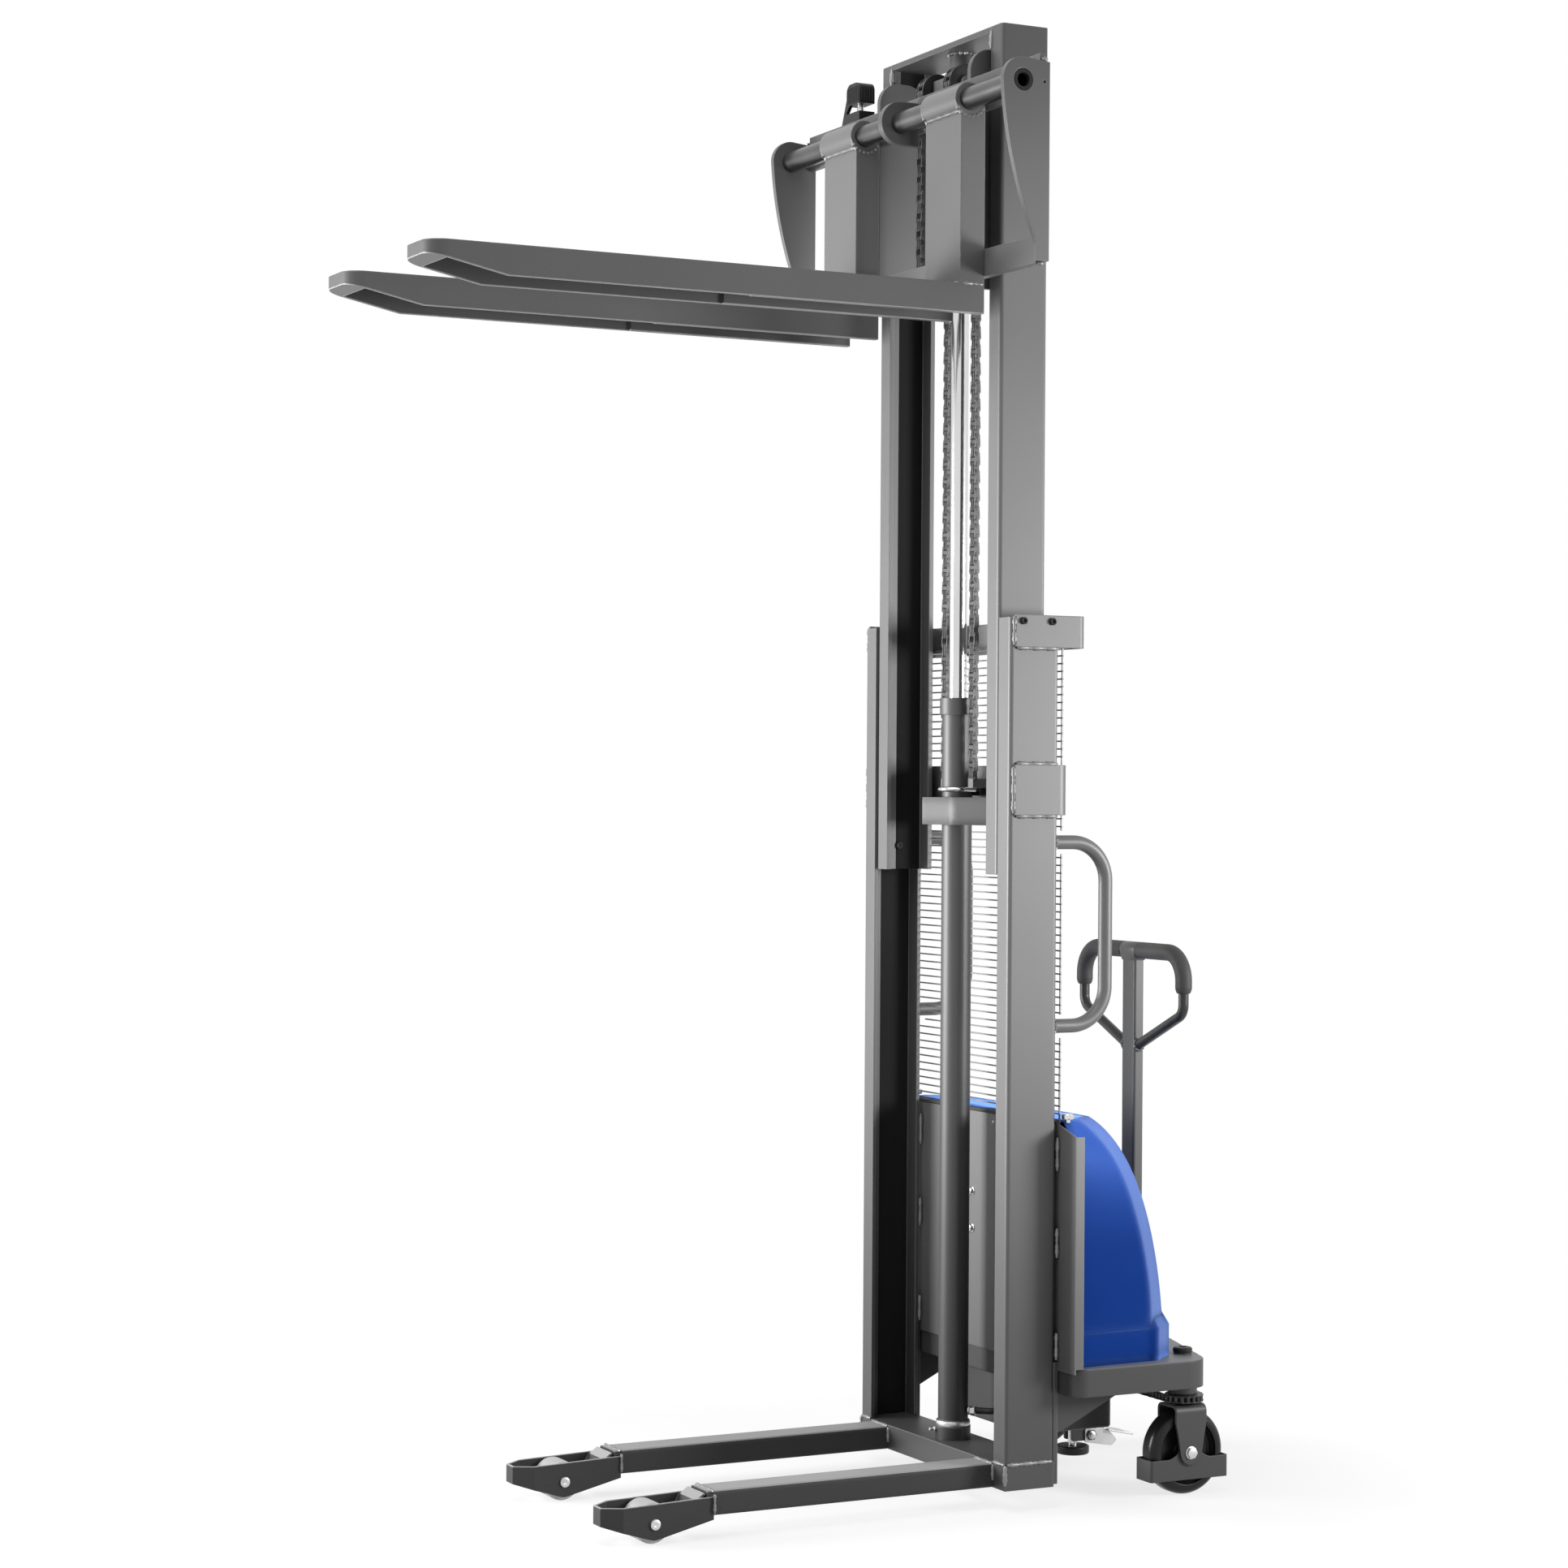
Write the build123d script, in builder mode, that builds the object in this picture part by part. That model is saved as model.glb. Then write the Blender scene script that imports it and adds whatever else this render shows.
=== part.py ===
from build123d import *
from math import cos, radians, sin
import os

# A walk-behind stacker: a two-stage chain-lift mast, straddle legs under its forks and a steered rear truck.
# It is drawn with the mast raised. The forks point along -Y, +X is the right-hand side seen from the rear,
# and the origin is on the floor under the middle of the whole machine. Everything is in millimetres.

# Overall reach from the front face of the mast
fork_reach = 1265
rear_reach = 548
mast_front = (fork_reach - rear_reach) / 2

# Fits
running = 0.05
slack = 0.3

# Outer mast, base and legs
column_half = 310
column_flange = 46
column_depth = 116
column_wall = 8
column_corner = 8
column_top = 1830
base_bottom = 45
base_top = 97
base_wall = 8
mast_middle = mast_front + column_depth / 2
column_back = mast_front + column_depth
strap_thick = 10
strap_width = 38
strap_inset = 2
strap_bottom = 50
strap_top = 300
leg_inset = 87
leg_width = 75
leg_height = 50
leg_wall = 5
leg_corner = 8
leg_bottom = 44
leg_length = 650
tip_wall = 5
tip_lap = 13
tip_chamfer_reach = 832
tip_nose_reach = 870
tip_nose_width = 34
tip_top_rear = 83
tip_top_front = 76
tip_bottom_rear = 38
tip_bottom_nose = 40
tip_slope_reach = 23
tip_slope_drop = 12
tip_stop_reach = 42
tip_stop_drop = 44
roller_reach = 764
roller_d = 80
roller_width = 62
roller_edge = 3
roller_pin_d = 20
roller_pin_head = 3
lobe_radius = 31

# Cross-members of the outer mast
band_thick = 6
band_front = 10
mid_band_back = 140
mid_band_bottom = 1425
mid_band_top = 1528
mid_band_corner = 22
top_band_back = 178
top_band_bottom = 1769
top_band_top = 1835
top_band_corner = 14
shelf_front = 127
shelf_bottom = 1775

# Lift cylinder
cylinder_back = 55
barrel_d = 64
barrel_bore = 54
barrel_floor = 137
barrel_top = 1636
gland_d = 75
gland_top = 1671
cup_d = 75
cup_top = 125
ring_d = 70
rod_d = 38
piston_bottom = 1345
piston_length = 55
clamp_z = 1477
clamp_rod_d = 10
saddle_half = 22
saddle_height = 26

# Inner mast
mast_gap = 6
inner_flange = 45
inner_depth = 112
inner_wall = 10
inner_corner = 8
inner_bottom = 1302
inner_top = 3054
top_plate = 12
boss_d = 50
boss_height = 92
bow_bottom = 1402
bow_height = 58
bow_thick = 8
bow_lap = 13
bow_run = 40
bow_nose = 60
bow_front = 8
track_pin_d = 30
mast_roller_z = 1351
mast_roller_width = 32
track_gap = 2
track_edge = 2

# Lift chains and pulleys
chain_x = 58
chain_width = 24
chain_thick = 12
pulley_back = 25
pulley_drop = 90
pulley_radius = 35
pulley_width = 30
pulley_pin_d = 20
pulley_gap = 1
carrier_half = 36
carrier_front = 18
carrier_height = 36
collar_d = 32
collar_thick = 6
anchor_top = 1500
anchor_height = 20
anchor_width = 20
carriage_anchor_drop = 21
carriage_anchor_height = 26

# Carriage and forks
carriage_half = 509
carriage_plate = 12
shaft_reach = 97
shaft_drop = 174
shaft_d = 45
shaft_bore = 28
nose_radius = 46
plate_back = 36
plate_rise = 40
plate_drop = 355
plate_heel = 64
plate_heel_height = 35
plate_waist = 24
plate_hole_d = 6
plate_hole_reach = 48
top_bar_front = 52
bar_back = 40
top_bar_drop = 16
top_bar_height = 75
lower_bar_front = 60
lower_bar_drop = 358
lower_bar_height = 55
hook_thick = 16
roller_plate_gap = 12
roller_plate_thick = 12
roller_plate_back = 72
roller_plate_corner = 46
roller_plate_drop = 367
roller_plate_rise = 129
upper_roller_rise = 78
lower_roller_drop = 318
carriage_roller_width = 40
fork_offset = 2
fork_width = 145
fork_wall = 7
fork_face = 117
fork_drop = 375
fork_height = 60
fork_tip_height = 26
fork_taper_reach = 1101
fork_nose_radius = 40
fork_rib_thick = 8
fork_rib_reach = 586
fork_rib_height = 40
sleeve_wall = 11
catch_inset = 195
catch_width = 60
catch_front_gap = 2
catch_drop = 40
catch_base = 26
catch_cap_gap = 18
catch_cap = 46
catch_round = 18
catch_pin_d = 15
catch_arm = 14
catch_arm_reach = 40
catch_arm_thick = 8

# Rear housing
panel_thick = 3
panel_front = 126
panel_overhang = 63
panel_top = 790
panel_corner_top = 768
panel_shoulder_run = 73
panel_return = 18
panel_bottom = 283
hood_front = 133.5
hood_inset = 21
hood_taper = 10
hood_depth = 187
hood_ledge = 14
hood_bevel_x = 50
hood_bevel_y = 60
hood_crown = 36
hood_crease = 22
hood_top = 805
hood_wall = 4
hood_power = 1.65
hood_steps = (0, 0.25, 0.5, 0.68, 0.82, 0.92, 0.985)
hood_brow = 40
hood_brow_power = 8
skirt_height = 66
skirt_lip = 14
skirt_slope = 24
skirt_taper = 30
console_half = 85
console_back = 380
console_bottom = 590
console_top = 672
platform_bottom = 235
platform_top = 293
platform_wall = 4
platform_margin = 1
platform_side_back = 452
platform_rear_half = 62
platform_corner = 30
platform_side_corner = 60
platform_roll = 3
gusset_inset = 10
gusset_thick = 6
gusset_back = 299
gusset_bottom = 155
gusset_heel = 8
box_half = 150
box_front = 150
box_back = 360
box_bottom = 121
box_corner = 12

# Guard and grab handles
wire_d = 3
wire_pitch = 16
guard_inset = 7
guard_bottom = 776
guard_wire_inset = 3
guard_wire_x = 75
handle_d = 29
handle_inset = 22
handle_low = 990
handle_high = 1369
handle_back = 246
handle_bend = 80
handle_room = 24

# Steered rear truck
caster_inset = 86
caster_back = 445
wheel_d = 180
wheel_width = 50
wheel_hub_d = 46
wheel_web = 16
wheel_rim_inner = 122
wheel_rim_lip = 136
tyre_shoulder = 17
axle_d = 20
axle_head_d = 24
axle_head = 5
yoke_half = 36
yoke_wall = 6
yoke_bend = 15
yoke_top = 190
yoke_depth = 75
yoke_straight = 36
yoke_foot_radius = 26
kingpin_d = 30
cap_d = 38
cap_height = 11
bearing_d = 62
bearing_bottom = 211
sprocket_bottom = 195
sprocket_thick = 14
sprocket_teeth = 18
steer_pitch = 12.7
steer_roller_d = 8.5
steer_chain_thick = 8
guard_length = 192
guard_thick = 3
guard_low = 33
guard_high = 78
guard_corner = 6
guard_rise = 106
guard_shoulder = 52
guard_sweep = 40

# Tiller
tiller_back = 502
post_width = 50
post_depth = 25
post_corner = 5
spindle_d = 26
post_foot = 302
shoe_margin = 7
loop_tube_d = 22
loop_half = 198
loop_shoulder = 1000
loop_height = 129
loop_drop = 85
loop_inset = 8
loop_corner = 60
loop_knee = 30
grip_d = 36
grip_drop = 74
saddle_gap = 30

# Floor lock and controls
lock_back = 354
lock_tube_d = 46
lock_tube_bottom = 104
lock_stem_d = 20
lock_stem_top = 119
lock_pad_d = 72
lock_pad_bottom = 40
lock_pad_thick = 18
lock_pad_round = 4
pedal_pivot_back = 388
pedal_pivot_z = 80
pedal_pin_d = 12
cheek_thick = 4
cheek_front = 15
cheek_heel = 52
cheek_low = 27
cheek_rear = 66
cheek_high = 12
cheek_shoulder = 40
cheek_corner = 5
tread_half = 32
tread_back = 70
tread_length = 64
tread_tilt = 12
ear_thick = 6
ear_half = 11.5
lever_x = 42
lever_ball_d = 26
lever_arm_d = 10
lever_length = 62
lever_boss_d = 20
button_x = -42
button_d = 34
button_stem_d = 16
button_travel_gap = 8
button_height = 11
button_round = 4
hose_d = 14
hose_z = 158
hose_x = 62
hose_bend = 24

# Derived places shared by several pieces
column_tip = column_half - column_flange
leg_centre = column_half - leg_inset
inner_half = column_tip - mast_gap
inner_tip = inner_half - inner_flange
bow_end = inner_half - bow_lap
bow_bend = bow_end - bow_run
roller_plate_outer = inner_tip - roller_plate_gap
roller_plate_inner = roller_plate_outer - roller_plate_thick
fork_centre = leg_centre + fork_offset
panel_half = column_half + panel_overhang
panel_shoulder = panel_half - panel_shoulder_run
hood_half = panel_half - hood_inset
platform_half = panel_half + platform_margin
gusset_x = column_half - gusset_inset
guard_half = column_half - guard_inset
guard_edge_x = guard_half - guard_wire_inset
handle_x = column_half - handle_inset
caster_x = platform_half - caster_inset
inner_back = mast_middle + inner_depth / 2
inner_web = inner_half - inner_wall
cylinder_y = mast_front + cylinder_back
pulley_y = mast_front + pulley_back
pulley_z = inner_top - pulley_drop
shaft_y = mast_front - shaft_reach
shaft_z = inner_top - shaft_drop
plate_bottom = shaft_z - plate_drop
top_bar_bottom = shaft_z - top_bar_drop
top_bar_top = top_bar_bottom + top_bar_height
lower_bar_bottom = shaft_z - lower_bar_drop
lower_bar_top = lower_bar_bottom + lower_bar_height
carriage_anchor_top = lower_bar_top - carriage_anchor_drop
roller_plate_bottom = shaft_z - roller_plate_drop
roller_plate_top = shaft_z + roller_plate_rise
carriage_roller_zs = {"upper": shaft_z + upper_roller_rise, "lower": shaft_z - lower_roller_drop}
fork_top = shaft_z - fork_drop
fork_bottom = fork_top - fork_height
catch_x = catch_inset - carriage_half
caster_y = mast_front + caster_back
tiller_y = mast_front + tiller_back
lock_y = mast_front + lock_back
panel_y = mast_front + panel_front
panel_back = panel_y + panel_thick
roller_y = mast_front - roller_reach
roller_z = roller_d / 2
tip_half = leg_width / 2 + tip_wall
carriage_roller_d = inner_depth - 2 * inner_wall - 2 * slack
mast_roller_d = column_depth - 2 * column_wall - 2 * slack
wheel_z = wheel_d / 2
yoke_inner = yoke_half - yoke_wall
sprocket_radius = steer_pitch / 2 / sin(radians(180 / sprocket_teeth))
loop_top = loop_shoulder + loop_height
loop_root = loop_shoulder - loop_drop
grip_end = loop_top - grip_drop
pedal_y = mast_front + pedal_pivot_back
cheek_inner = ear_half + ear_thick + slack
cheek_outer = cheek_inner + cheek_thick
sleeve_radius = shaft_d / 2 + slack + sleeve_wall
sides = {"left": -1, "right": 1}


def save(part, name):
    part.label = name
    export_step(part, f"parts/{name}.step")


def channel(side, outer, flange, depth, wall, corner, bottom, top):
    """A mast channel whose open side faces the middle of the machine."""
    with BuildPart() as section:
        with BuildSketch(Plane.XY.offset(bottom)):
            with Locations((side * (outer - flange / 2), mast_middle)):
                Rectangle(flange, depth)
            web_side = Axis.X if side > 0 else Axis((0, 0, 0), (-1, 0, 0))
            fillet(vertices().group_by(web_side)[-1], corner)
            with Locations((side * (outer - wall - flange / 2), mast_middle)):
                Rectangle(flange, depth - 2 * wall, mode=Mode.SUBTRACT)
        extrude(amount=top - bottom)
    return section.part


def mast_column(side):
    with BuildPart() as column:
        add(channel(side, column_half, column_flange, column_depth, column_wall, column_corner, base_top,
                    column_top))
        # The strap that ties the column's foot to the base and carries the rear housing
        with BuildSketch(Plane.XY.offset(strap_bottom)):
            strap_x = side * (column_half - strap_width / 2 - strap_inset)
            with Locations((strap_x, column_back + strap_thick / 2)):
                Rectangle(strap_width, strap_thick)
        extrude(amount=strap_top - strap_bottom)
    return column.part


def leg(side):
    with BuildPart() as tube:
        with BuildSketch(Plane.XZ.offset(-mast_front)):
            with Locations((side * leg_centre, leg_bottom + leg_height / 2)):
                RectangleRounded(leg_width, leg_height, leg_corner)
                RectangleRounded(leg_width - 2 * leg_wall, leg_height - 2 * leg_wall, leg_corner - leg_wall,
                                 mode=Mode.SUBTRACT)
        extrude(amount=leg_length)
    return tube.part


def tip_plan(middle, half, nose_half, nose, shoulder, rear):
    """Plan of the leg's tip: straight sides and a nose cut back at both corners."""
    with BuildSketch() as plan:
        with BuildLine():
            Polyline((middle - half, rear), (middle - half, shoulder), (middle - nose_half, nose),
                     (middle + nose_half, nose), (middle + half, shoulder), (middle + half, rear), close=True)
        make_face()
    return plan.sketch


def leg_tip(side):
    """The open box of bent plate that carries the load roller and wraps the end of the leg."""
    lap = mast_front - leg_length
    rear = lap + tip_lap
    shoulder = mast_front - tip_chamfer_reach
    nose = mast_front - tip_nose_reach
    middle = side * leg_centre
    nose_half = tip_nose_width / 2
    with BuildPart() as tip:
        with BuildSketch():
            add(tip_plan(middle, tip_half, nose_half, nose, shoulder, rear))
            add(tip_plan(middle, tip_half - tip_wall, nose_half - tip_wall / 2, nose + tip_wall, shoulder, rear),
                mode=Mode.SUBTRACT)
        extrude(amount=tip_top_rear)
        with BuildSketch(Plane.YZ.offset(middle)):
            with BuildLine():
                Polyline((rear, tip_bottom_rear), (rear, tip_top_rear), (nose, tip_top_front),
                         (nose, tip_bottom_nose), close=True)
            make_face()
            with Locations((roller_y, roller_z)):
                Circle(lobe_radius)
            make_hull()
        extrude(amount=tip_half, both=True, mode=Mode.INTERSECT)
        # The bent plate that closes the leg's end behind the roller
        stop_top = leg_bottom + leg_height - tip_wall
        with BuildSketch(Plane.YZ.offset(middle)):
            with BuildLine():
                Polyline((lap - tip_wall, stop_top), (lap - tip_slope_reach, stop_top - tip_slope_drop),
                         (lap - tip_stop_reach, stop_top - tip_stop_drop))
            trace(line_width=tip_wall)
        extrude(amount=tip_half - tip_wall, both=True)
        with BuildSketch(Plane.YZ.offset(middle)):
            with Locations((roller_y, roller_z)):
                Circle(roller_pin_d / 2)
        extrude(amount=tip_half + roller_pin_head, both=True)
    return tip.part


def wheel_blank(middle_x, middle_y, middle_z, diameter, width, bore, edge):
    """A plain roller with rounded edges, lying along X."""
    with BuildPart() as roller:
        with BuildSketch(Plane.YZ.offset(middle_x)):
            with Locations((middle_y, middle_z)):
                Circle(diameter / 2)
        extrude(amount=width / 2, both=True)
        fillet(roller.edges().filter_by(GeomType.CIRCLE), edge)
        with BuildSketch(Plane.YZ.offset(middle_x)):
            with Locations((middle_y, middle_z)):
                Circle(bore / 2 + running)
        extrude(amount=width / 2, both=True, mode=Mode.SUBTRACT)
    return roller.part


def u_band(back, bottom, top, corner):
    """A bent band that wraps the outer faces of both columns and closes behind them."""
    outer = column_half + band_thick
    length = back - band_front
    with BuildPart() as band:
        with BuildSketch(Plane.XY.offset(bottom)) as plan:
            with Locations((0, mast_front + band_front + length / 2)):
                Rectangle(2 * outer, length)
            fillet(plan.vertices().group_by(Axis.Y)[-1], corner)
        extrude(amount=top - bottom)
        with BuildSketch(Plane.XY.offset(bottom)) as hollow:
            with Locations((0, mast_front + band_front + (length - band_thick) / 2)):
                Rectangle(2 * column_half, length - band_thick)
            fillet(hollow.vertices().group_by(Axis.Y)[-1], corner - band_thick)
        extrude(amount=top - bottom, mode=Mode.SUBTRACT)
    return band.part


def hood_plan(step, inset, front, lip):
    """Plan of the hood at a step from foot to crown: straight sides, bevelled corners and a bulging rear."""
    depth = hood_depth * (1 - step ** 2) ** (1 / hood_power) + hood_ledge + lip
    brow = hood_brow * step ** hood_brow_power
    half = hood_half - brow - inset
    crease_x = half - hood_taper
    crease_y = mast_front + hood_front + depth - inset / 2
    corner_x = crease_x - hood_bevel_x + inset / 2
    corner_y = crease_y + hood_bevel_y - inset / 2
    crown = hood_crown * depth / (hood_depth + hood_ledge)
    with BuildSketch() as plan:
        with BuildLine():
            Polyline((-corner_x, corner_y), (-crease_x, crease_y), (-half, front), (half, front),
                     (crease_x, crease_y), (corner_x, corner_y))
            ThreePointArc((corner_x, corner_y), (0, corner_y + crown), (-corner_x, corner_y))
        make_face()
    return plan.sketch


def hood_body(inset, front_gap, foot_gap):
    """The hood's form, lofted through its plans and rounded along the creases that run up its sides."""
    front = mast_front + hood_front - front_gap
    with BuildPart() as body:
        for step in hood_steps:
            level = platform_top + step * (hood_top - platform_top)
            level = level - foot_gap if step == 0 else level
            level = level - inset if step == hood_steps[-1] else level
            with BuildSketch(Plane.XY.offset(level)):
                add(hood_plan(step, inset, front, 0))
        loft()
        upright = body.edges().filter_by(lambda edge: edge.bounding_box().size.Z > hood_depth).sort_by(Axis.Y)
        fillet(upright[2:], hood_crease - inset)
    return body.part


def carriage_side_plate(side):
    heel_top = plate_bottom + plate_heel_height
    with BuildPart() as plate:
        with BuildSketch(Plane.YZ.offset(side * (carriage_half - carriage_plate / 2))):
            with BuildLine():
                Polyline((shaft_y, shaft_z + nose_radius), (mast_front - plate_back, shaft_z + plate_rise),
                         (mast_front - plate_back, plate_bottom), (mast_front - plate_heel, plate_bottom),
                         (mast_front - plate_heel, heel_top))
                ThreePointArc((mast_front - plate_heel, heel_top),
                              (shaft_y - nose_radius + plate_waist, (shaft_z + heel_top) / 2),
                              (shaft_y - nose_radius, shaft_z))
                RadiusArc((shaft_y - nose_radius, shaft_z), (shaft_y, shaft_z + nose_radius), nose_radius)
            make_face()
            with Locations((shaft_y, shaft_z)):
                Circle(shaft_d / 2 + running, mode=Mode.SUBTRACT)
            with Locations((mast_front - plate_hole_reach, shaft_z)):
                Circle(plate_hole_d / 2, mode=Mode.SUBTRACT)
        extrude(amount=carriage_plate / 2, both=True)
    return plate.part


def roller_plate(side):
    """The upright plate that runs inside the inner mast and carries a pair of rollers."""
    front = mast_front - bar_back
    back = mast_front + roller_plate_back
    middle = (front + back) / 2
    with BuildPart() as plate:
        with BuildSketch(Plane.YZ.offset(side * (roller_plate_inner + roller_plate_thick / 2))) as outline:
            with Locations((middle, (roller_plate_bottom + roller_plate_top) / 2)):
                Rectangle(back - front, roller_plate_top - roller_plate_bottom)
            fillet(outline.vertices().group_by(Axis.Y)[-1], roller_plate_corner)
        extrude(amount=roller_plate_thick / 2, both=True)
        with BuildSketch(Plane.YZ.offset(side * roller_plate_outer)):
            for height in carriage_roller_zs.values():
                with Locations((mast_middle, height)):
                    Circle(track_pin_d / 2)
        extrude(amount=side * (track_gap + carriage_roller_width))
    return plate.part


def fork(side):
    """A fork pressed from plate: an open channel that hangs on the shaft by a rolled sleeve."""
    middle = side * fork_centre
    rear = mast_front - lower_bar_front - slack
    face = mast_front - fork_face
    tip = mast_front - fork_reach
    taper = mast_front - fork_taper_reach
    with BuildPart() as blade:
        with BuildSketch(Plane.YZ.offset(middle)):
            with BuildLine():
                Polyline((rear, fork_bottom), (rear, shaft_z), (face, shaft_z), (face, fork_top), (tip, fork_top),
                         (tip, fork_top - fork_tip_height), (taper, fork_bottom), close=True)
            make_face()
        extrude(amount=fork_width / 2, both=True)
        fillet(blade.edges().filter_by(Axis.Z).group_by(Axis.Y)[0], fork_nose_radius)
        with BuildSketch(Plane.YZ.offset(middle)):
            with BuildLine():
                Polyline((rear, fork_bottom), (rear, shaft_z), (face + fork_wall, shaft_z),
                         (face + fork_wall, fork_top - fork_wall),
                         (tip + fork_nose_radius, fork_top - fork_wall), (tip + fork_nose_radius, fork_bottom),
                         close=True)
            make_face()
        extrude(amount=fork_width / 2 - fork_wall, both=True, mode=Mode.SUBTRACT)
        # Ribs that double the side walls from the heel to half the fork's length
        rib_front = mast_front - fork_rib_reach
        for edge in (-1, 1):
            with BuildSketch(Plane.XY.offset(fork_bottom)):
                with Locations((middle + edge * (fork_width - fork_rib_thick) / 2 - edge * fork_wall,
                                (rib_front + rear) / 2)):
                    Rectangle(fork_rib_thick, rear - rib_front)
            extrude(amount=fork_rib_height)
        with BuildSketch(Plane.YZ.offset(middle)):
            with Locations((shaft_y, shaft_z)):
                Circle(sleeve_radius)
        extrude(amount=fork_width / 2, both=True)
        with BuildSketch(Plane.YZ.offset(middle)):
            with Locations((shaft_y, shaft_z)):
                Circle(shaft_d / 2 + slack)
        extrude(amount=fork_width / 2, both=True, mode=Mode.SUBTRACT)
    return blade.part


def sprocket_plan(middle_x, middle_y):
    """Outline of a steering sprocket, notched for the rollers of its chain."""
    with BuildSketch(Plane.XY.offset(sprocket_bottom)) as plan:
        with Locations((middle_x, middle_y)):
            Circle(sprocket_radius)
            with PolarLocations(sprocket_radius, sprocket_teeth):
                Circle(steer_roller_d / 2, mode=Mode.SUBTRACT)
    return plan.sketch


def caster_fork(side):
    """The swivelling yoke bent from plate, with its kingpin, cap, sprocket and wheel axle."""
    middle = side * caster_x
    foot = wheel_z - yoke_foot_radius
    inner_top_z = yoke_top - yoke_wall
    with BuildPart() as yoke:
        with BuildSketch(Plane.XZ.offset(-caster_y)) as outside:
            with Locations((middle, (foot + yoke_top) / 2)):
                Rectangle(2 * yoke_half, yoke_top - foot)
            fillet(outside.vertices().group_by(Axis.Y)[-1], yoke_bend)
        extrude(amount=yoke_depth / 2, both=True)
        with BuildSketch(Plane.XZ.offset(-caster_y)) as inside:
            with Locations((middle, (foot + inner_top_z) / 2)):
                Rectangle(2 * yoke_inner, inner_top_z - foot)
            fillet(inside.vertices().group_by(Axis.Y)[-1], yoke_bend - yoke_wall)
        extrude(amount=yoke_depth / 2, both=True, mode=Mode.SUBTRACT)
        # Side view of the arms: straight above, tapering to a round foot
        with BuildSketch(Plane.YZ.offset(middle)):
            with Locations((caster_y, wheel_z)):
                Circle(yoke_foot_radius)
            with Locations((caster_y, yoke_top - yoke_straight / 2)):
                Rectangle(yoke_depth, yoke_straight)
            make_hull()
        extrude(amount=yoke_half, both=True, mode=Mode.INTERSECT)
        with BuildSketch(Plane.YZ.offset(middle)):
            with Locations((caster_y, wheel_z)):
                Circle(axle_d / 2)
        extrude(amount=yoke_half, both=True)
        for face in (-1, 1):
            with BuildSketch(Plane.YZ.offset(middle + face * yoke_half)):
                with Locations((caster_y, wheel_z)):
                    RegularPolygon(axle_head_d / 2, 6)
            extrude(amount=face * axle_head)
        with BuildSketch(Plane.XY.offset(yoke_top)):
            with Locations((middle, caster_y)):
                Circle(kingpin_d / 2)
        extrude(amount=platform_top + slack - yoke_top)
        add(extrude(sprocket_plan(middle, caster_y), amount=sprocket_thick))
        with BuildSketch(Plane.XY.offset(platform_top + slack)):
            with Locations((middle, caster_y)):
                Circle(cap_d / 2)
        extrude(amount=cap_height)
        fillet(yoke.faces().sort_by(Axis.Z)[-1].edges(), cap_height / 2)
    return yoke.part


def caster_wheel(side):
    """A moulded wheel: hub, web and a rim with a lip inside its crowned tyre."""
    middle = side * caster_x
    half = wheel_width / 2
    with BuildPart() as wheel:
        with BuildSketch(Plane((middle, caster_y, wheel_z), x_dir=(1, 0, 0), z_dir=(0, -1, 0))) as section:
            with BuildLine():
                rim = Polyline((0, wheel_d / 2), (half, wheel_d / 2), (half, wheel_rim_lip / 2),
                               (half - wheel_web / 2, wheel_rim_lip / 2), (wheel_web / 2, wheel_rim_inner / 2),
                               (wheel_web / 2, wheel_hub_d / 2), (half, wheel_hub_d / 2),
                               (half, axle_d / 2 + running), (0, axle_d / 2 + running))
                mirror(rim, about=Plane.YZ)
            make_face()
            tread = section.vertices().group_by(Axis.Y)[-1]
            fillet(tread.group_by(Axis.X)[0] + tread.group_by(Axis.X)[-1], tyre_shoulder)
        revolve(axis=Axis((middle, caster_y, wheel_z), (1, 0, 0)))
    return wheel.part


def toe_guard(side):
    """The bent plate round the foot of the wheel, swept up on both sides to the axle."""
    middle = side * caster_x
    with BuildPart() as guard:
        with BuildSketch(Plane.XY.offset(guard_low)):
            with Locations((middle, caster_y)):
                RectangleRounded(2 * yoke_inner, guard_length, guard_corner)
                RectangleRounded(2 * (yoke_inner - guard_thick), guard_length - 2 * guard_thick,
                                 guard_corner - guard_thick, mode=Mode.SUBTRACT)
        extrude(amount=guard_rise - guard_low)
        with BuildSketch(Plane.YZ.offset(middle)):
            with Locations((caster_y, (guard_low + guard_high) / 2)):
                Rectangle(guard_length, guard_high - guard_low)
            with BuildLine():
                Line((caster_y - guard_shoulder, guard_high), (caster_y + guard_shoulder, guard_high))
                RadiusArc((caster_y + guard_shoulder, guard_high), (caster_y + axle_d, guard_rise), guard_sweep)
                Line((caster_y + axle_d, guard_rise), (caster_y - axle_d, guard_rise))
                RadiusArc((caster_y - axle_d, guard_rise), (caster_y - guard_shoulder, guard_high), guard_sweep)
            make_face()
        extrude(amount=yoke_inner, both=True, mode=Mode.INTERSECT)
        with BuildSketch(Plane.YZ.offset(middle)):
            with Locations((caster_y, wheel_z)):
                Circle(axle_d / 2 + running)
        extrude(amount=yoke_inner, both=True, mode=Mode.SUBTRACT)
    return guard.part


def grab_handle(side):
    middle = side * handle_x
    back = mast_front + handle_back
    with BuildPart() as handle:
        with BuildLine():
            FilletPolyline((middle, column_back, handle_low), (middle, back, handle_low),
                           (middle, back, handle_high), (middle, column_back, handle_high), radius=handle_bend)
        with BuildSketch(Plane((middle, column_back, handle_low), z_dir=(0, 1, 0))):
            Circle(handle_d / 2)
        sweep()
    return handle.part


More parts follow.
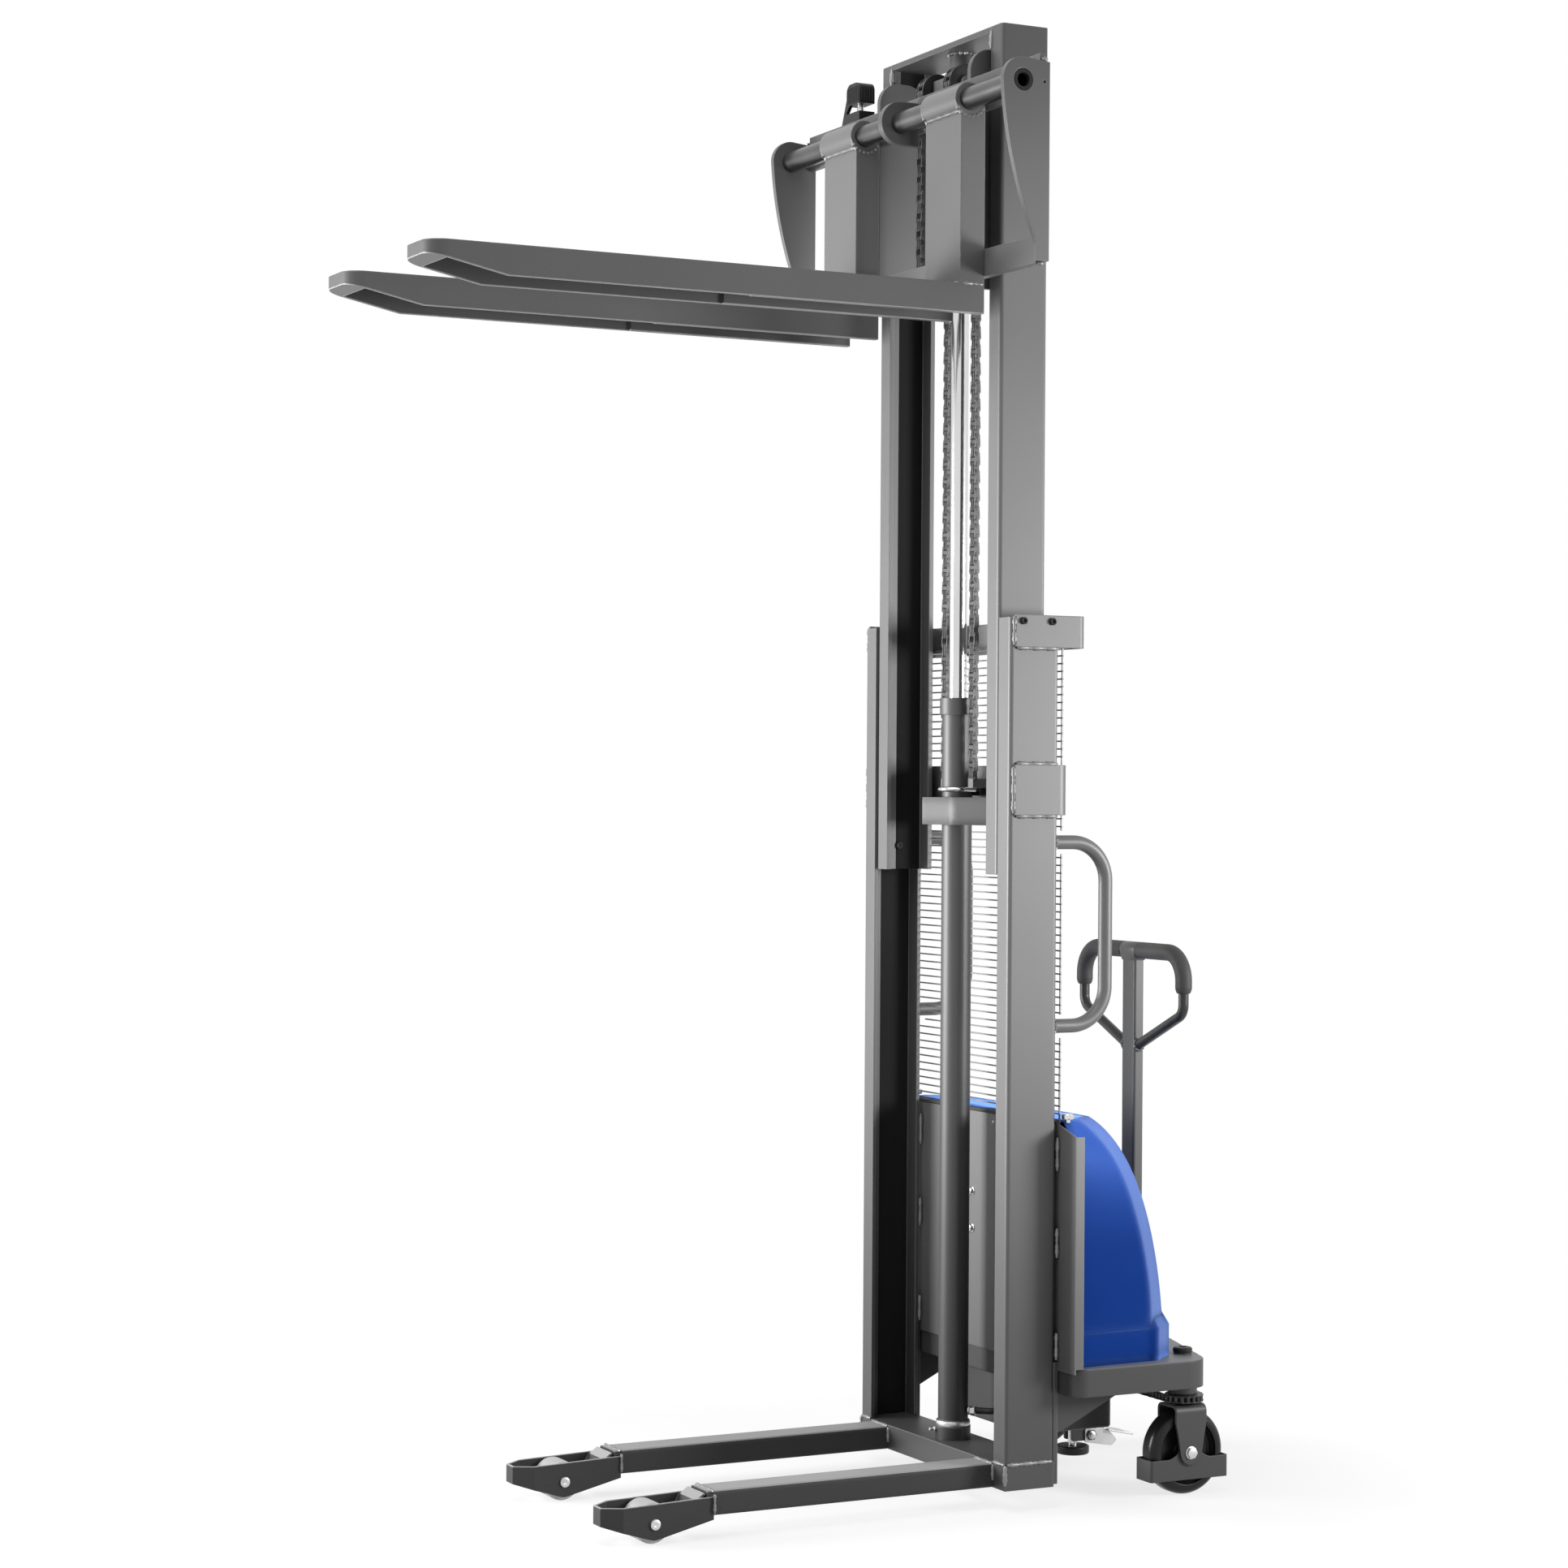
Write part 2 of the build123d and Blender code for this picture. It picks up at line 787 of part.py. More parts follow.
def chain_loop(gap):
    """The steering chain's plan outline, a given distance outside the sprockets."""
    with BuildSketch(Plane.XY.offset(sprocket_bottom)) as loop:
        with Locations((-caster_x, caster_y), (caster_x, caster_y), (0, tiller_y)):
            Circle(sprocket_radius + gap)
        make_hull()
    return loop.sketch


os.makedirs("parts", exist_ok=True)

# Outer mast, base and legs
with BuildPart() as base_beam:
    with BuildSketch(Plane.YZ):
        with Locations((mast_middle, (base_bottom + base_top) / 2)):
            Rectangle(column_depth, base_top - base_bottom)
    extrude(amount=column_half, both=True)
    with BuildSketch(Plane.YZ):
        with Locations((mast_middle, (base_bottom + base_top) / 2)):
            Rectangle(column_depth - 2 * base_wall, base_top - base_bottom - 2 * base_wall)
    extrude(amount=column_half - base_wall, both=True, mode=Mode.SUBTRACT)
save(base_beam.part, "base_beam")

for side_name, side in sides.items():
    save(mast_column(side), f"mast_column_{side_name}")
    save(leg(side), f"leg_{side_name}")
    save(leg_tip(side), f"leg_tip_{side_name}")
    load_roller = wheel_blank(side * leg_centre, roller_y, roller_z, roller_d, roller_width, roller_pin_d,
                              roller_edge)
    save(load_roller, f"load_roller_{side_name}")

# Cross-members, with the rear chain anchors welded to the middle one
with BuildPart() as mid_crossmember:
    add(u_band(mid_band_back, mid_band_bottom, mid_band_top, mid_band_corner))
    lug_front = pulley_y + pulley_radius - chain_thick / 2
    lug_back = mast_front + mid_band_back - band_thick / 2
    with BuildSketch(Plane.XY.offset(anchor_top - anchor_height)):
        with Locations((-chain_x, (lug_front + lug_back) / 2), (chain_x, (lug_front + lug_back) / 2)):
            Rectangle(anchor_width, lug_back - lug_front)
    extrude(amount=anchor_height)
save(mid_crossmember.part, "mid_crossmember")

with BuildPart() as top_crossmember:
    add(u_band(top_band_back, top_band_bottom, top_band_top, top_band_corner))
    shelf_depth = top_band_back - band_thick - shelf_front
    with BuildSketch(Plane.XY.offset(shelf_bottom)):
        with Locations((0, mast_front + shelf_front + shelf_depth / 2)):
            Rectangle(2 * column_half, shelf_depth)
    extrude(amount=band_thick)
save(top_crossmember.part, "top_crossmember")

# Lift cylinder: barrel with its cup and gland nut, and the clamp that ties it to the middle cross-member
with BuildPart() as cylinder_barrel:
    with BuildSketch(Plane.XZ.offset(-cylinder_y)):
        with BuildLine():
            Polyline((0, base_top), (cup_d / 2, base_top), (cup_d / 2, cup_top), (ring_d / 2, cup_top),
                     (ring_d / 2, barrel_floor), (barrel_d / 2, barrel_floor), (barrel_d / 2, barrel_top),
                     (gland_d / 2, barrel_top), (gland_d / 2, gland_top), (rod_d / 2 + running, gland_top),
                     (rod_d / 2 + running, barrel_top), (barrel_bore / 2, barrel_top),
                     (barrel_bore / 2, barrel_floor), (0, barrel_floor), close=True)
        make_face()
    revolve(axis=Axis((0, cylinder_y, 0), (0, 0, 1)))
save(cylinder_barrel.part, "cylinder_barrel")

with BuildPart() as barrel_clamp:
    saddle_back = mast_front + mid_band_back - band_thick
    with BuildSketch(Plane.XY.offset(clamp_z - saddle_height / 2)):
        with Locations((0, (cylinder_y + saddle_back) / 2)):
            Rectangle(2 * saddle_half, saddle_back - cylinder_y)
        with Locations((0, cylinder_y)):
            Circle(barrel_d / 2 + running, mode=Mode.SUBTRACT)
    extrude(amount=saddle_height)
    bolt_radius = barrel_d / 2 + slack + clamp_rod_d / 2
    with BuildLine():
        Line((-bolt_radius, saddle_back, clamp_z), (-bolt_radius, cylinder_y, clamp_z))
        ThreePointArc((-bolt_radius, cylinder_y, clamp_z), (0, cylinder_y - bolt_radius, clamp_z),
                      (bolt_radius, cylinder_y, clamp_z))
        Line((bolt_radius, cylinder_y, clamp_z), (bolt_radius, saddle_back, clamp_z))
    with BuildSketch(Plane((-bolt_radius, saddle_back, clamp_z), z_dir=(0, -1, 0))):
        Circle(clamp_rod_d / 2)
    sweep()
    # The strap between saddle and bolt legs
    with BuildSketch(Plane.XY.offset(clamp_z - clamp_rod_d / 2)):
        with Locations((0, saddle_back - band_thick)):
            Rectangle(2 * bolt_radius + 2 * clamp_rod_d, 2 * band_thick)
    extrude(amount=clamp_rod_d)
save(barrel_clamp.part, "barrel_clamp")

# Inner mast
for side_name, side in sides.items():
    with BuildPart() as inner_channel:
        add(channel(side, inner_half, inner_flange, inner_depth, inner_wall, inner_corner, inner_bottom,
                    inner_top))
        # The stub that carries the roller running inside the outer column
        with BuildSketch(Plane.YZ.offset(side * inner_web)):
            with Locations((mast_middle, mast_roller_z)):
                Circle(track_pin_d / 2)
        extrude(amount=side * (column_tip + track_gap + mast_roller_width - inner_web))
    save(inner_channel.part, f"inner_channel_{side_name}")
    mast_roller_x = side * (column_tip + track_gap + mast_roller_width / 2)
    mast_roller = wheel_blank(mast_roller_x, mast_middle, mast_roller_z, mast_roller_d, mast_roller_width,
                              track_pin_d, track_edge)
    save(mast_roller, f"mast_roller_{side_name}")

with BuildPart() as inner_top_plate:
    with BuildSketch(Plane.XY.offset(inner_top - top_plate)):
        with Locations((0, mast_middle)):
            Rectangle(2 * inner_tip, inner_depth)
    extrude(amount=top_plate)
    with BuildSketch(Plane.XY.offset(inner_top - top_plate)):
        with Locations((0, cylinder_y)):
            Circle(boss_d / 2)
    extrude(amount=-boss_height)
    # The block on the boss that carries the pulleys' axle, with a collar at each end
    boss_bottom = inner_top - top_plate - boss_height
    carrier_depth = cylinder_y - pulley_y + carrier_front
    with BuildSketch(Plane.XY.offset(boss_bottom)):
        with Locations((0, cylinder_y - carrier_depth / 2)):
            Rectangle(2 * carrier_half, carrier_depth)
    extrude(amount=carrier_height)
    collar_x = chain_x + pulley_width / 2 + pulley_gap
    with BuildSketch(Plane.YZ):
        with Locations((pulley_y, pulley_z)):
            Circle(pulley_pin_d / 2)
    extrude(amount=collar_x, both=True)
    for side in sides.values():
        with BuildSketch(Plane.YZ.offset(side * collar_x)):
            with Locations((pulley_y, pulley_z)):
                Circle(collar_d / 2)
        extrude(amount=side * collar_thick)
save(inner_top_plate.part, "inner_top_plate")

# The strap that joins the inner channels low down, bowed forward round the barrel
with BuildPart() as inner_lower_strap:
    flange_y = inner_back + bow_thick / 2
    nose_y = mast_front + bow_front
    with BuildSketch(Plane.XY.offset(bow_bottom)):
        with BuildLine():
            FilletPolyline((-bow_end, flange_y), (-bow_bend, flange_y), (-bow_nose, nose_y), (bow_nose, nose_y),
                           (bow_bend, flange_y), (bow_end, flange_y), radius=bow_thick)
        trace(line_width=bow_thick)
    extrude(amount=bow_height)
save(inner_lower_strap.part, "inner_lower_strap")

with BuildPart() as piston_rod:
    with BuildSketch(Plane.XZ.offset(-cylinder_y)):
        with BuildLine():
            Polyline((0, piston_bottom), (barrel_bore / 2 - running, piston_bottom),
                     (barrel_bore / 2 - running, piston_bottom + piston_length),
                     (rod_d / 2, piston_bottom + piston_length), (rod_d / 2, boss_bottom), (0, boss_bottom),
                     close=True)
        make_face()
    revolve(axis=Axis((0, cylinder_y, 0), (0, 0, 1)))
save(piston_rod.part, "piston_rod")

# Lift chains: the front runs, the rear runs and the stretch over the pulleys
front_run_y = pulley_y - pulley_radius
rear_run_y = pulley_y + pulley_radius
with BuildPart() as chain_front:
    with BuildSketch(Plane.XY.offset(carriage_anchor_top)):
        with Locations((-chain_x, front_run_y), (chain_x, front_run_y)):
            Rectangle(chain_width, chain_thick)
    extrude(amount=pulley_z - carriage_anchor_top)
save(chain_front.part, "chain_front")

with BuildPart() as chain_rear:
    with BuildSketch(Plane.XY.offset(anchor_top)):
        with Locations((-chain_x, rear_run_y), (chain_x, rear_run_y)):
            Rectangle(chain_width, chain_thick)
    extrude(amount=pulley_z - anchor_top)
save(chain_rear.part, "chain_rear")

with BuildPart() as chain_wrap:
    for side in sides.values():
        with BuildSketch(Plane.YZ.offset(side * chain_x)):
            with Locations((pulley_y, pulley_z)):
                Circle(pulley_radius + chain_thick / 2)
                Circle(pulley_radius - chain_thick / 2, mode=Mode.SUBTRACT)
            with Locations((pulley_y, pulley_z - pulley_radius)):
                Rectangle(4 * pulley_radius, 2 * pulley_radius, mode=Mode.SUBTRACT)
        extrude(amount=chain_width / 2, both=True)
save(chain_wrap.part, "chain_wrap")

for side_name, side in sides.items():
    pulley_root = pulley_radius - chain_thick / 2 - slack
    with BuildPart() as chain_pulley:
        with BuildSketch(Plane.YZ.offset(side * chain_x)):
            with Locations((pulley_y, pulley_z)):
                Circle(pulley_root)
        extrude(amount=pulley_width / 2, both=True)
        for edge in (-1, 1):
            with BuildSketch(Plane.YZ.offset(side * chain_x + edge * (chain_width / 2 + slack))):
                with Locations((pulley_y, pulley_z)):
                    Circle(pulley_radius + chain_thick / 2)
            extrude(amount=edge * (pulley_width / 2 - chain_width / 2 - slack))
        with BuildSketch(Plane.YZ.offset(side * chain_x)):
            with Locations((pulley_y, pulley_z)):
                Circle(pulley_pin_d / 2 + running)
        extrude(amount=pulley_width, both=True, mode=Mode.SUBTRACT)
    save(chain_pulley.part, f"chain_pulley_{side_name}")

# Carriage
for side_name, side in sides.items():
    save(carriage_side_plate(side), f"carriage_plate_{side_name}")
    save(roller_plate(side), f"roller_plate_{side_name}")
    roller_x = side * (roller_plate_outer + track_gap + carriage_roller_width / 2)
    for level, height in carriage_roller_zs.items():
        roller = wheel_blank(roller_x, mast_middle, height, carriage_roller_d, carriage_roller_width, track_pin_d,
                             track_edge)
        save(roller, f"carriage_roller_{level}_{side_name}")

bar_half = carriage_half - carriage_plate
with BuildPart() as carriage_shaft:
    with BuildSketch(Plane.YZ.offset(-carriage_half)):
        with Locations((shaft_y, shaft_z)):
            Circle(shaft_d / 2)
            Circle(shaft_bore / 2, mode=Mode.SUBTRACT)
    extrude(amount=2 * carriage_half)
save(carriage_shaft.part, "carriage_shaft")

# The upper back bar, with the plate in its middle that hooks over the shaft
with BuildPart() as carriage_top_bar:
    with BuildSketch(Plane.YZ.offset(-bar_half)):
        with Locations((mast_front - (top_bar_front + bar_back) / 2, (top_bar_bottom + top_bar_top) / 2)):
            Rectangle(top_bar_front - bar_back, top_bar_top - top_bar_bottom)
    extrude(amount=2 * bar_half)
    with BuildSketch(Plane.YZ):
        with Locations((shaft_y, shaft_z)):
            Circle(nose_radius)
        with Locations(((shaft_y + mast_front - top_bar_front) / 2, shaft_z)):
            Rectangle(shaft_reach - top_bar_front, 2 * nose_radius)
        with Locations((mast_front - top_bar_front + nose_radius, shaft_z)):
            Rectangle(2 * nose_radius, 2 * nose_radius, mode=Mode.SUBTRACT)
        with Locations((shaft_y, shaft_z)):
            Circle(shaft_d / 2 + running, mode=Mode.SUBTRACT)
    extrude(amount=hook_thick / 2, both=True)
save(carriage_top_bar.part, "carriage_top_bar")

# The lower back bar, with the front chain anchors behind it
with BuildPart() as carriage_lower_bar:
    with BuildSketch(Plane.YZ.offset(-bar_half)):
        with Locations((mast_front - (lower_bar_front + bar_back) / 2, (lower_bar_bottom + lower_bar_top) / 2)):
            Rectangle(lower_bar_front - bar_back, lower_bar_top - lower_bar_bottom)
    extrude(amount=2 * bar_half)
    lug_front = mast_front - bar_back
    lug_back = front_run_y + chain_thick / 2
    with BuildSketch(Plane.XY.offset(carriage_anchor_top - carriage_anchor_height)):
        with Locations((-chain_x, (lug_front + lug_back) / 2), (chain_x, (lug_front + lug_back) / 2)):
            Rectangle(chain_width, lug_back - lug_front)
    extrude(amount=carriage_anchor_height)
save(carriage_lower_bar.part, "carriage_lower_bar")

# The catch on the left of the carriage: a base, a rounded cap on an upright pin, and an arm beside them
with BuildPart() as catch_bracket:
    catch_front = mast_front - bar_back
    catch_depth = bar_back - catch_front_gap
    catch_side = catch_x - catch_width / 2
    base_z = top_bar_top - catch_drop
    cap_z = top_bar_top + catch_base + catch_cap_gap
    with BuildSketch(Plane.XZ.offset(-catch_front)) as cap:
        with Locations((catch_x, cap_z + catch_cap / 2)):
            Rectangle(catch_width, catch_cap)
        fillet(cap.vertices().group_by(Axis.Y)[-1], catch_round)
    extrude(amount=-catch_depth)
    with BuildSketch(Plane.XZ.offset(-catch_front)):
        with Locations((catch_x, (base_z + top_bar_top + catch_base) / 2)):
            Rectangle(catch_width, top_bar_top + catch_base - base_z)
    extrude(amount=-catch_depth)
    with BuildSketch(Plane.XZ.offset(-catch_front)):
        with BuildLine():
            Polyline((catch_side, base_z), (catch_side - catch_arm_reach, base_z), (catch_side, cap_z + catch_arm),
                     (catch_side + catch_arm, cap_z + catch_arm), (catch_side + catch_arm, cap_z),
                     (catch_side, cap_z - catch_arm), close=True)
        make_face()
    extrude(amount=-catch_arm_thick)
    with BuildSketch(Plane.XY.offset(top_bar_top)):
        with Locations((catch_x, catch_front + catch_depth / 2)):
            Circle(catch_pin_d / 2)
    extrude(amount=cap_z - top_bar_top)
save(catch_bracket.part, "catch_bracket")

for side_name, side in sides.items():
    save(fork(side), f"fork_{side_name}")

# Wire guard behind the mast, open at the middle cross-member and round the grab handles
with BuildPart() as mesh_guard:
    with BuildSketch(Plane.XZ.offset(-panel_back)):
        wire_count = int((shelf_bottom - guard_bottom) / wire_pitch)
        for row in range(wire_count):
            height = guard_bottom + wire_d / 2 + row * wire_pitch
            if height < mid_band_bottom - wire_d or height > mid_band_top + wire_d:
                with Locations((0, height)):
                    Rectangle(2 * guard_half, wire_d)
        for wire_x in (-guard_edge_x, -guard_wire_x, guard_wire_x, guard_edge_x):
            with Locations((wire_x, (guard_bottom + shelf_bottom) / 2)):
                Rectangle(wire_d, shelf_bottom - guard_bottom)
        for side in sides.values():
            for height in (handle_low, handle_high):
                with Locations((side * guard_half, height)):
                    Rectangle(2 * (guard_half - handle_x + handle_room), 2 * handle_room, mode=Mode.SUBTRACT)
    extrude(amount=-wire_d)
save(mesh_guard.part, "mesh_guard")

for side_name, side in sides.items():
    save(grab_handle(side), f"grab_handle_{side_name}")

# Rear housing: front sheet with its side returns, hood, platform and the box hung under it
with BuildPart() as front_panel:
    with BuildSketch(Plane.XZ.offset(-panel_y)):
        with BuildLine():
            Polyline((-panel_half, panel_bottom), (panel_half, panel_bottom), (panel_half, panel_corner_top),
                     (panel_shoulder, panel_top), (-panel_shoulder, panel_top), (-panel_half, panel_corner_top),
                     close=True)
        make_face()
    extrude(amount=-panel_thick)
    with BuildSketch(Plane.XY.offset(platform_top)):
        for side in sides.values():
            with Locations((side * (panel_half - panel_thick / 2), panel_back + panel_return / 2)):
                Rectangle(panel_thick, panel_return)
    extrude(amount=panel_corner_top - platform_top)
save(front_panel.part, "front_panel")

with BuildPart() as hood:
    add(hood_body(0, 0, 0))
    # The skirt round the rear of the hood's foot, sloping back into it
    with BuildSketch(Plane.XY.offset(platform_top)):
        add(hood_plan(0, slack, mast_front + hood_front, skirt_lip))
    extrude(amount=skirt_height)
    with BuildSketch(Plane.XY.offset(platform_top + skirt_height)):
        add(hood_plan(0, slack, mast_front + hood_front, skirt_lip))
    extrude(amount=skirt_slope, taper=skirt_taper)
    # The flat console that carries the controls
    console_depth = console_back - hood_front - hood_wall
    with BuildSketch(Plane.XY.offset(console_bottom)):
        with Locations((0, mast_front + console_back - console_depth / 2)):
            RectangleRounded(2 * console_half, console_depth, box_corner)
    extrude(amount=console_top - console_bottom)
    add(hood_body(hood_wall, hood_wall, hood_wall), mode=Mode.SUBTRACT)
    with BuildSketch(Plane.XZ.offset(-mast_front - console_back)):
        with Locations((button_x, (console_bottom + console_top) / 2)):
            Circle(button_stem_d / 2 + running)
    extrude(amount=3 * button_travel_gap, mode=Mode.SUBTRACT)
save(hood.part, "hood")

with BuildPart() as platform:
    side_back = mast_front + platform_side_back
    rear_end = mast_front + rear_reach
    with BuildSketch(Plane.XY.offset(platform_bottom)) as tray_plan:
        with BuildLine():
            Polyline((-platform_half, panel_back), (platform_half, panel_back), (platform_half, side_back),
                     (platform_rear_half, rear_end), (-platform_rear_half, rear_end), (-platform_half, side_back),
                     close=True)
        make_face()
        rows = tray_plan.vertices().group_by(Axis.Y)
        fillet(rows[0] + rows[-1], platform_corner)
        fillet(tray_plan.vertices().filter_by(lambda corner: corner.Y == side_back), platform_side_corner)
    extrude(amount=platform_top - platform_bottom)
    fillet(platform.faces().sort_by(Axis.Z)[-1].edges(), platform_roll)
    with BuildSketch(Plane.XY.offset(platform_bottom)):
        add(tray_plan.sketch.moved(Location((0, 0, -platform_bottom))))
        offset(amount=-platform_wall, mode=Mode.REPLACE)
    extrude(amount=platform_top - platform_bottom - platform_wall, mode=Mode.SUBTRACT)
    # Bearing tubes of the two casters and the tiller
    with BuildSketch(Plane.XY.offset(bearing_bottom)):
        with Locations((-caster_x, caster_y), (caster_x, caster_y), (0, tiller_y)):
            Circle(bearing_d / 2)
    extrude(amount=platform_top - bearing_bottom)
    with BuildSketch(Plane.XY.offset(bearing_bottom)):
        with Locations((-caster_x, caster_y), (caster_x, caster_y)):
            Circle(kingpin_d / 2 + running)
        with Locations((0, tiller_y)):
            Circle(spindle_d / 2 + running)
    extrude(amount=platform_top - bearing_bottom, mode=Mode.SUBTRACT)
    # Gussets below the tray, beside the mast
    for side in sides.values():
        with BuildSketch(Plane.YZ.offset(side * gusset_x)):
            with BuildLine():
                Polyline((panel_y, gusset_bottom), (panel_y, panel_bottom), (panel_back, panel_bottom),
                         (panel_back, platform_top - platform_wall),
                         (mast_front + gusset_back, platform_top - platform_wall),
                         (mast_front + gusset_back, platform_bottom), (panel_back + gusset_heel, gusset_bottom),
                         close=True)
            make_face()
        extrude(amount=gusset_thick / 2, both=True)
save(platform.part, "platform")

with BuildPart() as power_pack_box:
    box_depth = box_back - box_front
    with BuildSketch(Plane.XY.offset(box_bottom)):
        with Locations((0, mast_front + box_front + box_depth / 2)):
            RectangleRounded(2 * box_half, box_depth, box_corner)
    extrude(amount=platform_top - platform_wall - box_bottom)
    fillet(power_pack_box.faces().sort_by(Axis.Z)[0].edges(), box_corner / 2)
    # The guide tube of the floor lock and the ears of its pedal
    with BuildSketch(Plane.XY.offset(lock_tube_bottom)):
        with Locations((0, lock_y)):
            Circle(lock_tube_d / 2)
    extrude(amount=box_bottom + box_corner - lock_tube_bottom)
    ear_front = lock_y - pedal_pin_d
    ear_back = pedal_y + pedal_pin_d
    ear_bottom = pedal_pivot_z - pedal_pin_d
    ear_top = box_bottom + box_corner
    for side in sides.values():
        with BuildSketch(Plane.YZ.offset(side * (ear_half + ear_thick / 2))) as ear:
            with Locations(((ear_front + ear_back) / 2, (ear_bottom + ear_top) / 2)):
                Rectangle(ear_back - ear_front, ear_top - ear_bottom)
            fillet(ear.vertices(), pedal_pin_d / 2)
        extrude(amount=ear_thick / 2, both=True)
    with BuildSketch(Plane.YZ):
        with Locations((pedal_y, pedal_pivot_z)):
            Circle(pedal_pin_d / 2)
    extrude(amount=cheek_outer + slack, both=True)
    for side in sides.values():
        with BuildSketch(Plane.YZ.offset(side * (cheek_outer + slack))):
            with Locations((pedal_y, pedal_pivot_z)):
                RegularPolygon(pedal_pin_d, 6)
        extrude(amount=side * cheek_thick)
    with BuildSketch(Plane.XY.offset(lock_tube_bottom)):
        with Locations((0, lock_y)):
            Circle(lock_stem_d / 2 + running)
    extrude(amount=box_bottom - lock_tube_bottom, mode=Mode.SUBTRACT)
save(power_pack_box.part, "power_pack_box")

# The hose from the cylinder's foot to the box
with BuildPart() as lift_hose:
    hose_start = (barrel_d / 2 * sin(radians(45)), cylinder_y + barrel_d / 2 * cos(radians(45)), hose_z)
    hose_turn = (hose_x, cylinder_y + hose_x, hose_z)
    with BuildLine():
        FilletPolyline(hose_start, hose_turn, (hose_x, mast_front + box_front, hose_z), radius=hose_bend)
    with BuildSketch(Plane(hose_start, z_dir=(1, 1, 0))):
        Circle(hose_d / 2)
    sweep()
save(lift_hose.part, "lift_hose")

# Steered truck
for side_name, side in sides.items():
    save(caster_fork(side), f"caster_fork_{side_name}")
    save(caster_wheel(side), f"caster_wheel_{side_name}")
    save(toe_guard(side), f"toe_guard_{side_name}")

with BuildPart() as steering_chain:
    add(chain_loop(slack + steer_chain_thick))
    extrude(amount=sprocket_thick)
    with BuildSketch(Plane.XY.offset(sprocket_bottom)):
        add(chain_loop(slack).moved(Location((0, 0, -sprocket_bottom))))
    extrude(amount=sprocket_thick, mode=Mode.SUBTRACT)
save(steering_chain.part, "steering_chain")

# Tiller: post, spindle with its sprocket, and the handle loop
with BuildPart() as tiller:
    with BuildSketch(Plane.XY.offset(post_foot)):
        with Locations((0, tiller_y)):
            RectangleRounded(post_width, post_depth, post_corner)
    extrude(amount=loop_top - post_foot)
    with BuildSketch(Plane.XY.offset(sprocket_bottom)):
        with Locations((0, tiller_y)):
            Circle(spindle_d / 2)
    extrude(amount=post_foot - sprocket_bottom)
    with BuildSketch(Plane.XY.offset(platform_top + slack)):
        with Locations((0, tiller_y)):
            RectangleRounded(post_width + 2 * shoe_margin, post_depth + 2 * shoe_margin, post_corner)
    extrude(amount=post_foot - platform_top)
    add(extrude(sprocket_plan(0, tiller_y), amount=sprocket_thick))
    with BuildLine():
        FilletPolyline((-loop_inset, tiller_y, loop_root), (-loop_half, tiller_y, loop_shoulder),
                       (-loop_half, tiller_y, loop_top), (loop_half, tiller_y, loop_top),
                       (loop_half, tiller_y, loop_shoulder), (loop_inset, tiller_y, loop_root),
                       radius=[loop_knee, loop_corner, loop_corner, loop_knee])
    root_run = (loop_inset - loop_half, 0, loop_shoulder - loop_root)
    with BuildSketch(Plane((-loop_inset, tiller_y, loop_root), z_dir=root_run)):
        Circle(loop_tube_d / 2)
    sweep()
save(tiller.part, "tiller")

with BuildPart() as tiller_grip:
    for side in sides.values():
        with BuildLine():
            FilletPolyline((side * saddle_gap, tiller_y, loop_top), (side * loop_half, tiller_y, loop_top),
                           (side * loop_half, tiller_y, grip_end), radius=loop_corner)
        with BuildSketch(Plane((side * saddle_gap, tiller_y, loop_top), z_dir=(side, 0, 0))):
            Circle(grip_d / 2)
            Circle(loop_tube_d / 2 + slack / 2, mode=Mode.SUBTRACT)
        sweep()
save(tiller_grip.part, "tiller_grip")

# Floor lock
with BuildPart() as lock_pad:
    with BuildSketch(Plane.XY.offset(lock_pad_bottom)):
        with Locations((0, lock_y)):
            Circle(lock_pad_d / 2)
    extrude(amount=lock_pad_thick)
    fillet(lock_pad.edges().filter_by(GeomType.CIRCLE), lock_pad_round)
    with BuildSketch(Plane.XY.offset(lock_pad_bottom + lock_pad_thick)):
        with Locations((0, lock_y)):
            Circle(lock_stem_d / 2)
    extrude(amount=lock_stem_top - lock_pad_bottom - lock_pad_thick)
save(lock_pad.part, "lock_pad")

# The lock's pedal: two cheeks on the pin, joined by a tilted tread
with BuildPart() as lock_pedal:
    for side in sides.values():
        with BuildSketch(Plane.YZ.offset(side * cheek_inner)) as cheek:
            with BuildLine():
                Polyline((pedal_y - cheek_front, pedal_pivot_z - cheek_front),
                         (pedal_y + cheek_heel, pedal_pivot_z - cheek_low),
                         (pedal_y + cheek_rear, pedal_pivot_z - cheek_front),
                         (pedal_y + cheek_shoulder, pedal_pivot_z + cheek_high),
                         (pedal_y - cheek_front, pedal_pivot_z + cheek_front), close=True)
            make_face()
            fillet(cheek.vertices(), cheek_corner)
            with Locations((pedal_y, pedal_pivot_z)):
                Circle(pedal_pin_d / 2 + running, mode=Mode.SUBTRACT)
        extrude(amount=side * cheek_thick)
    with BuildSketch(Plane.YZ):
        with Locations(Location((pedal_y + tread_back, pedal_pivot_z + cheek_thick / 2), -tread_tilt)):
            Rectangle(tread_length, cheek_thick)
    extrude(amount=tread_half, both=True)
save(lock_pedal.part, "lock_pedal")

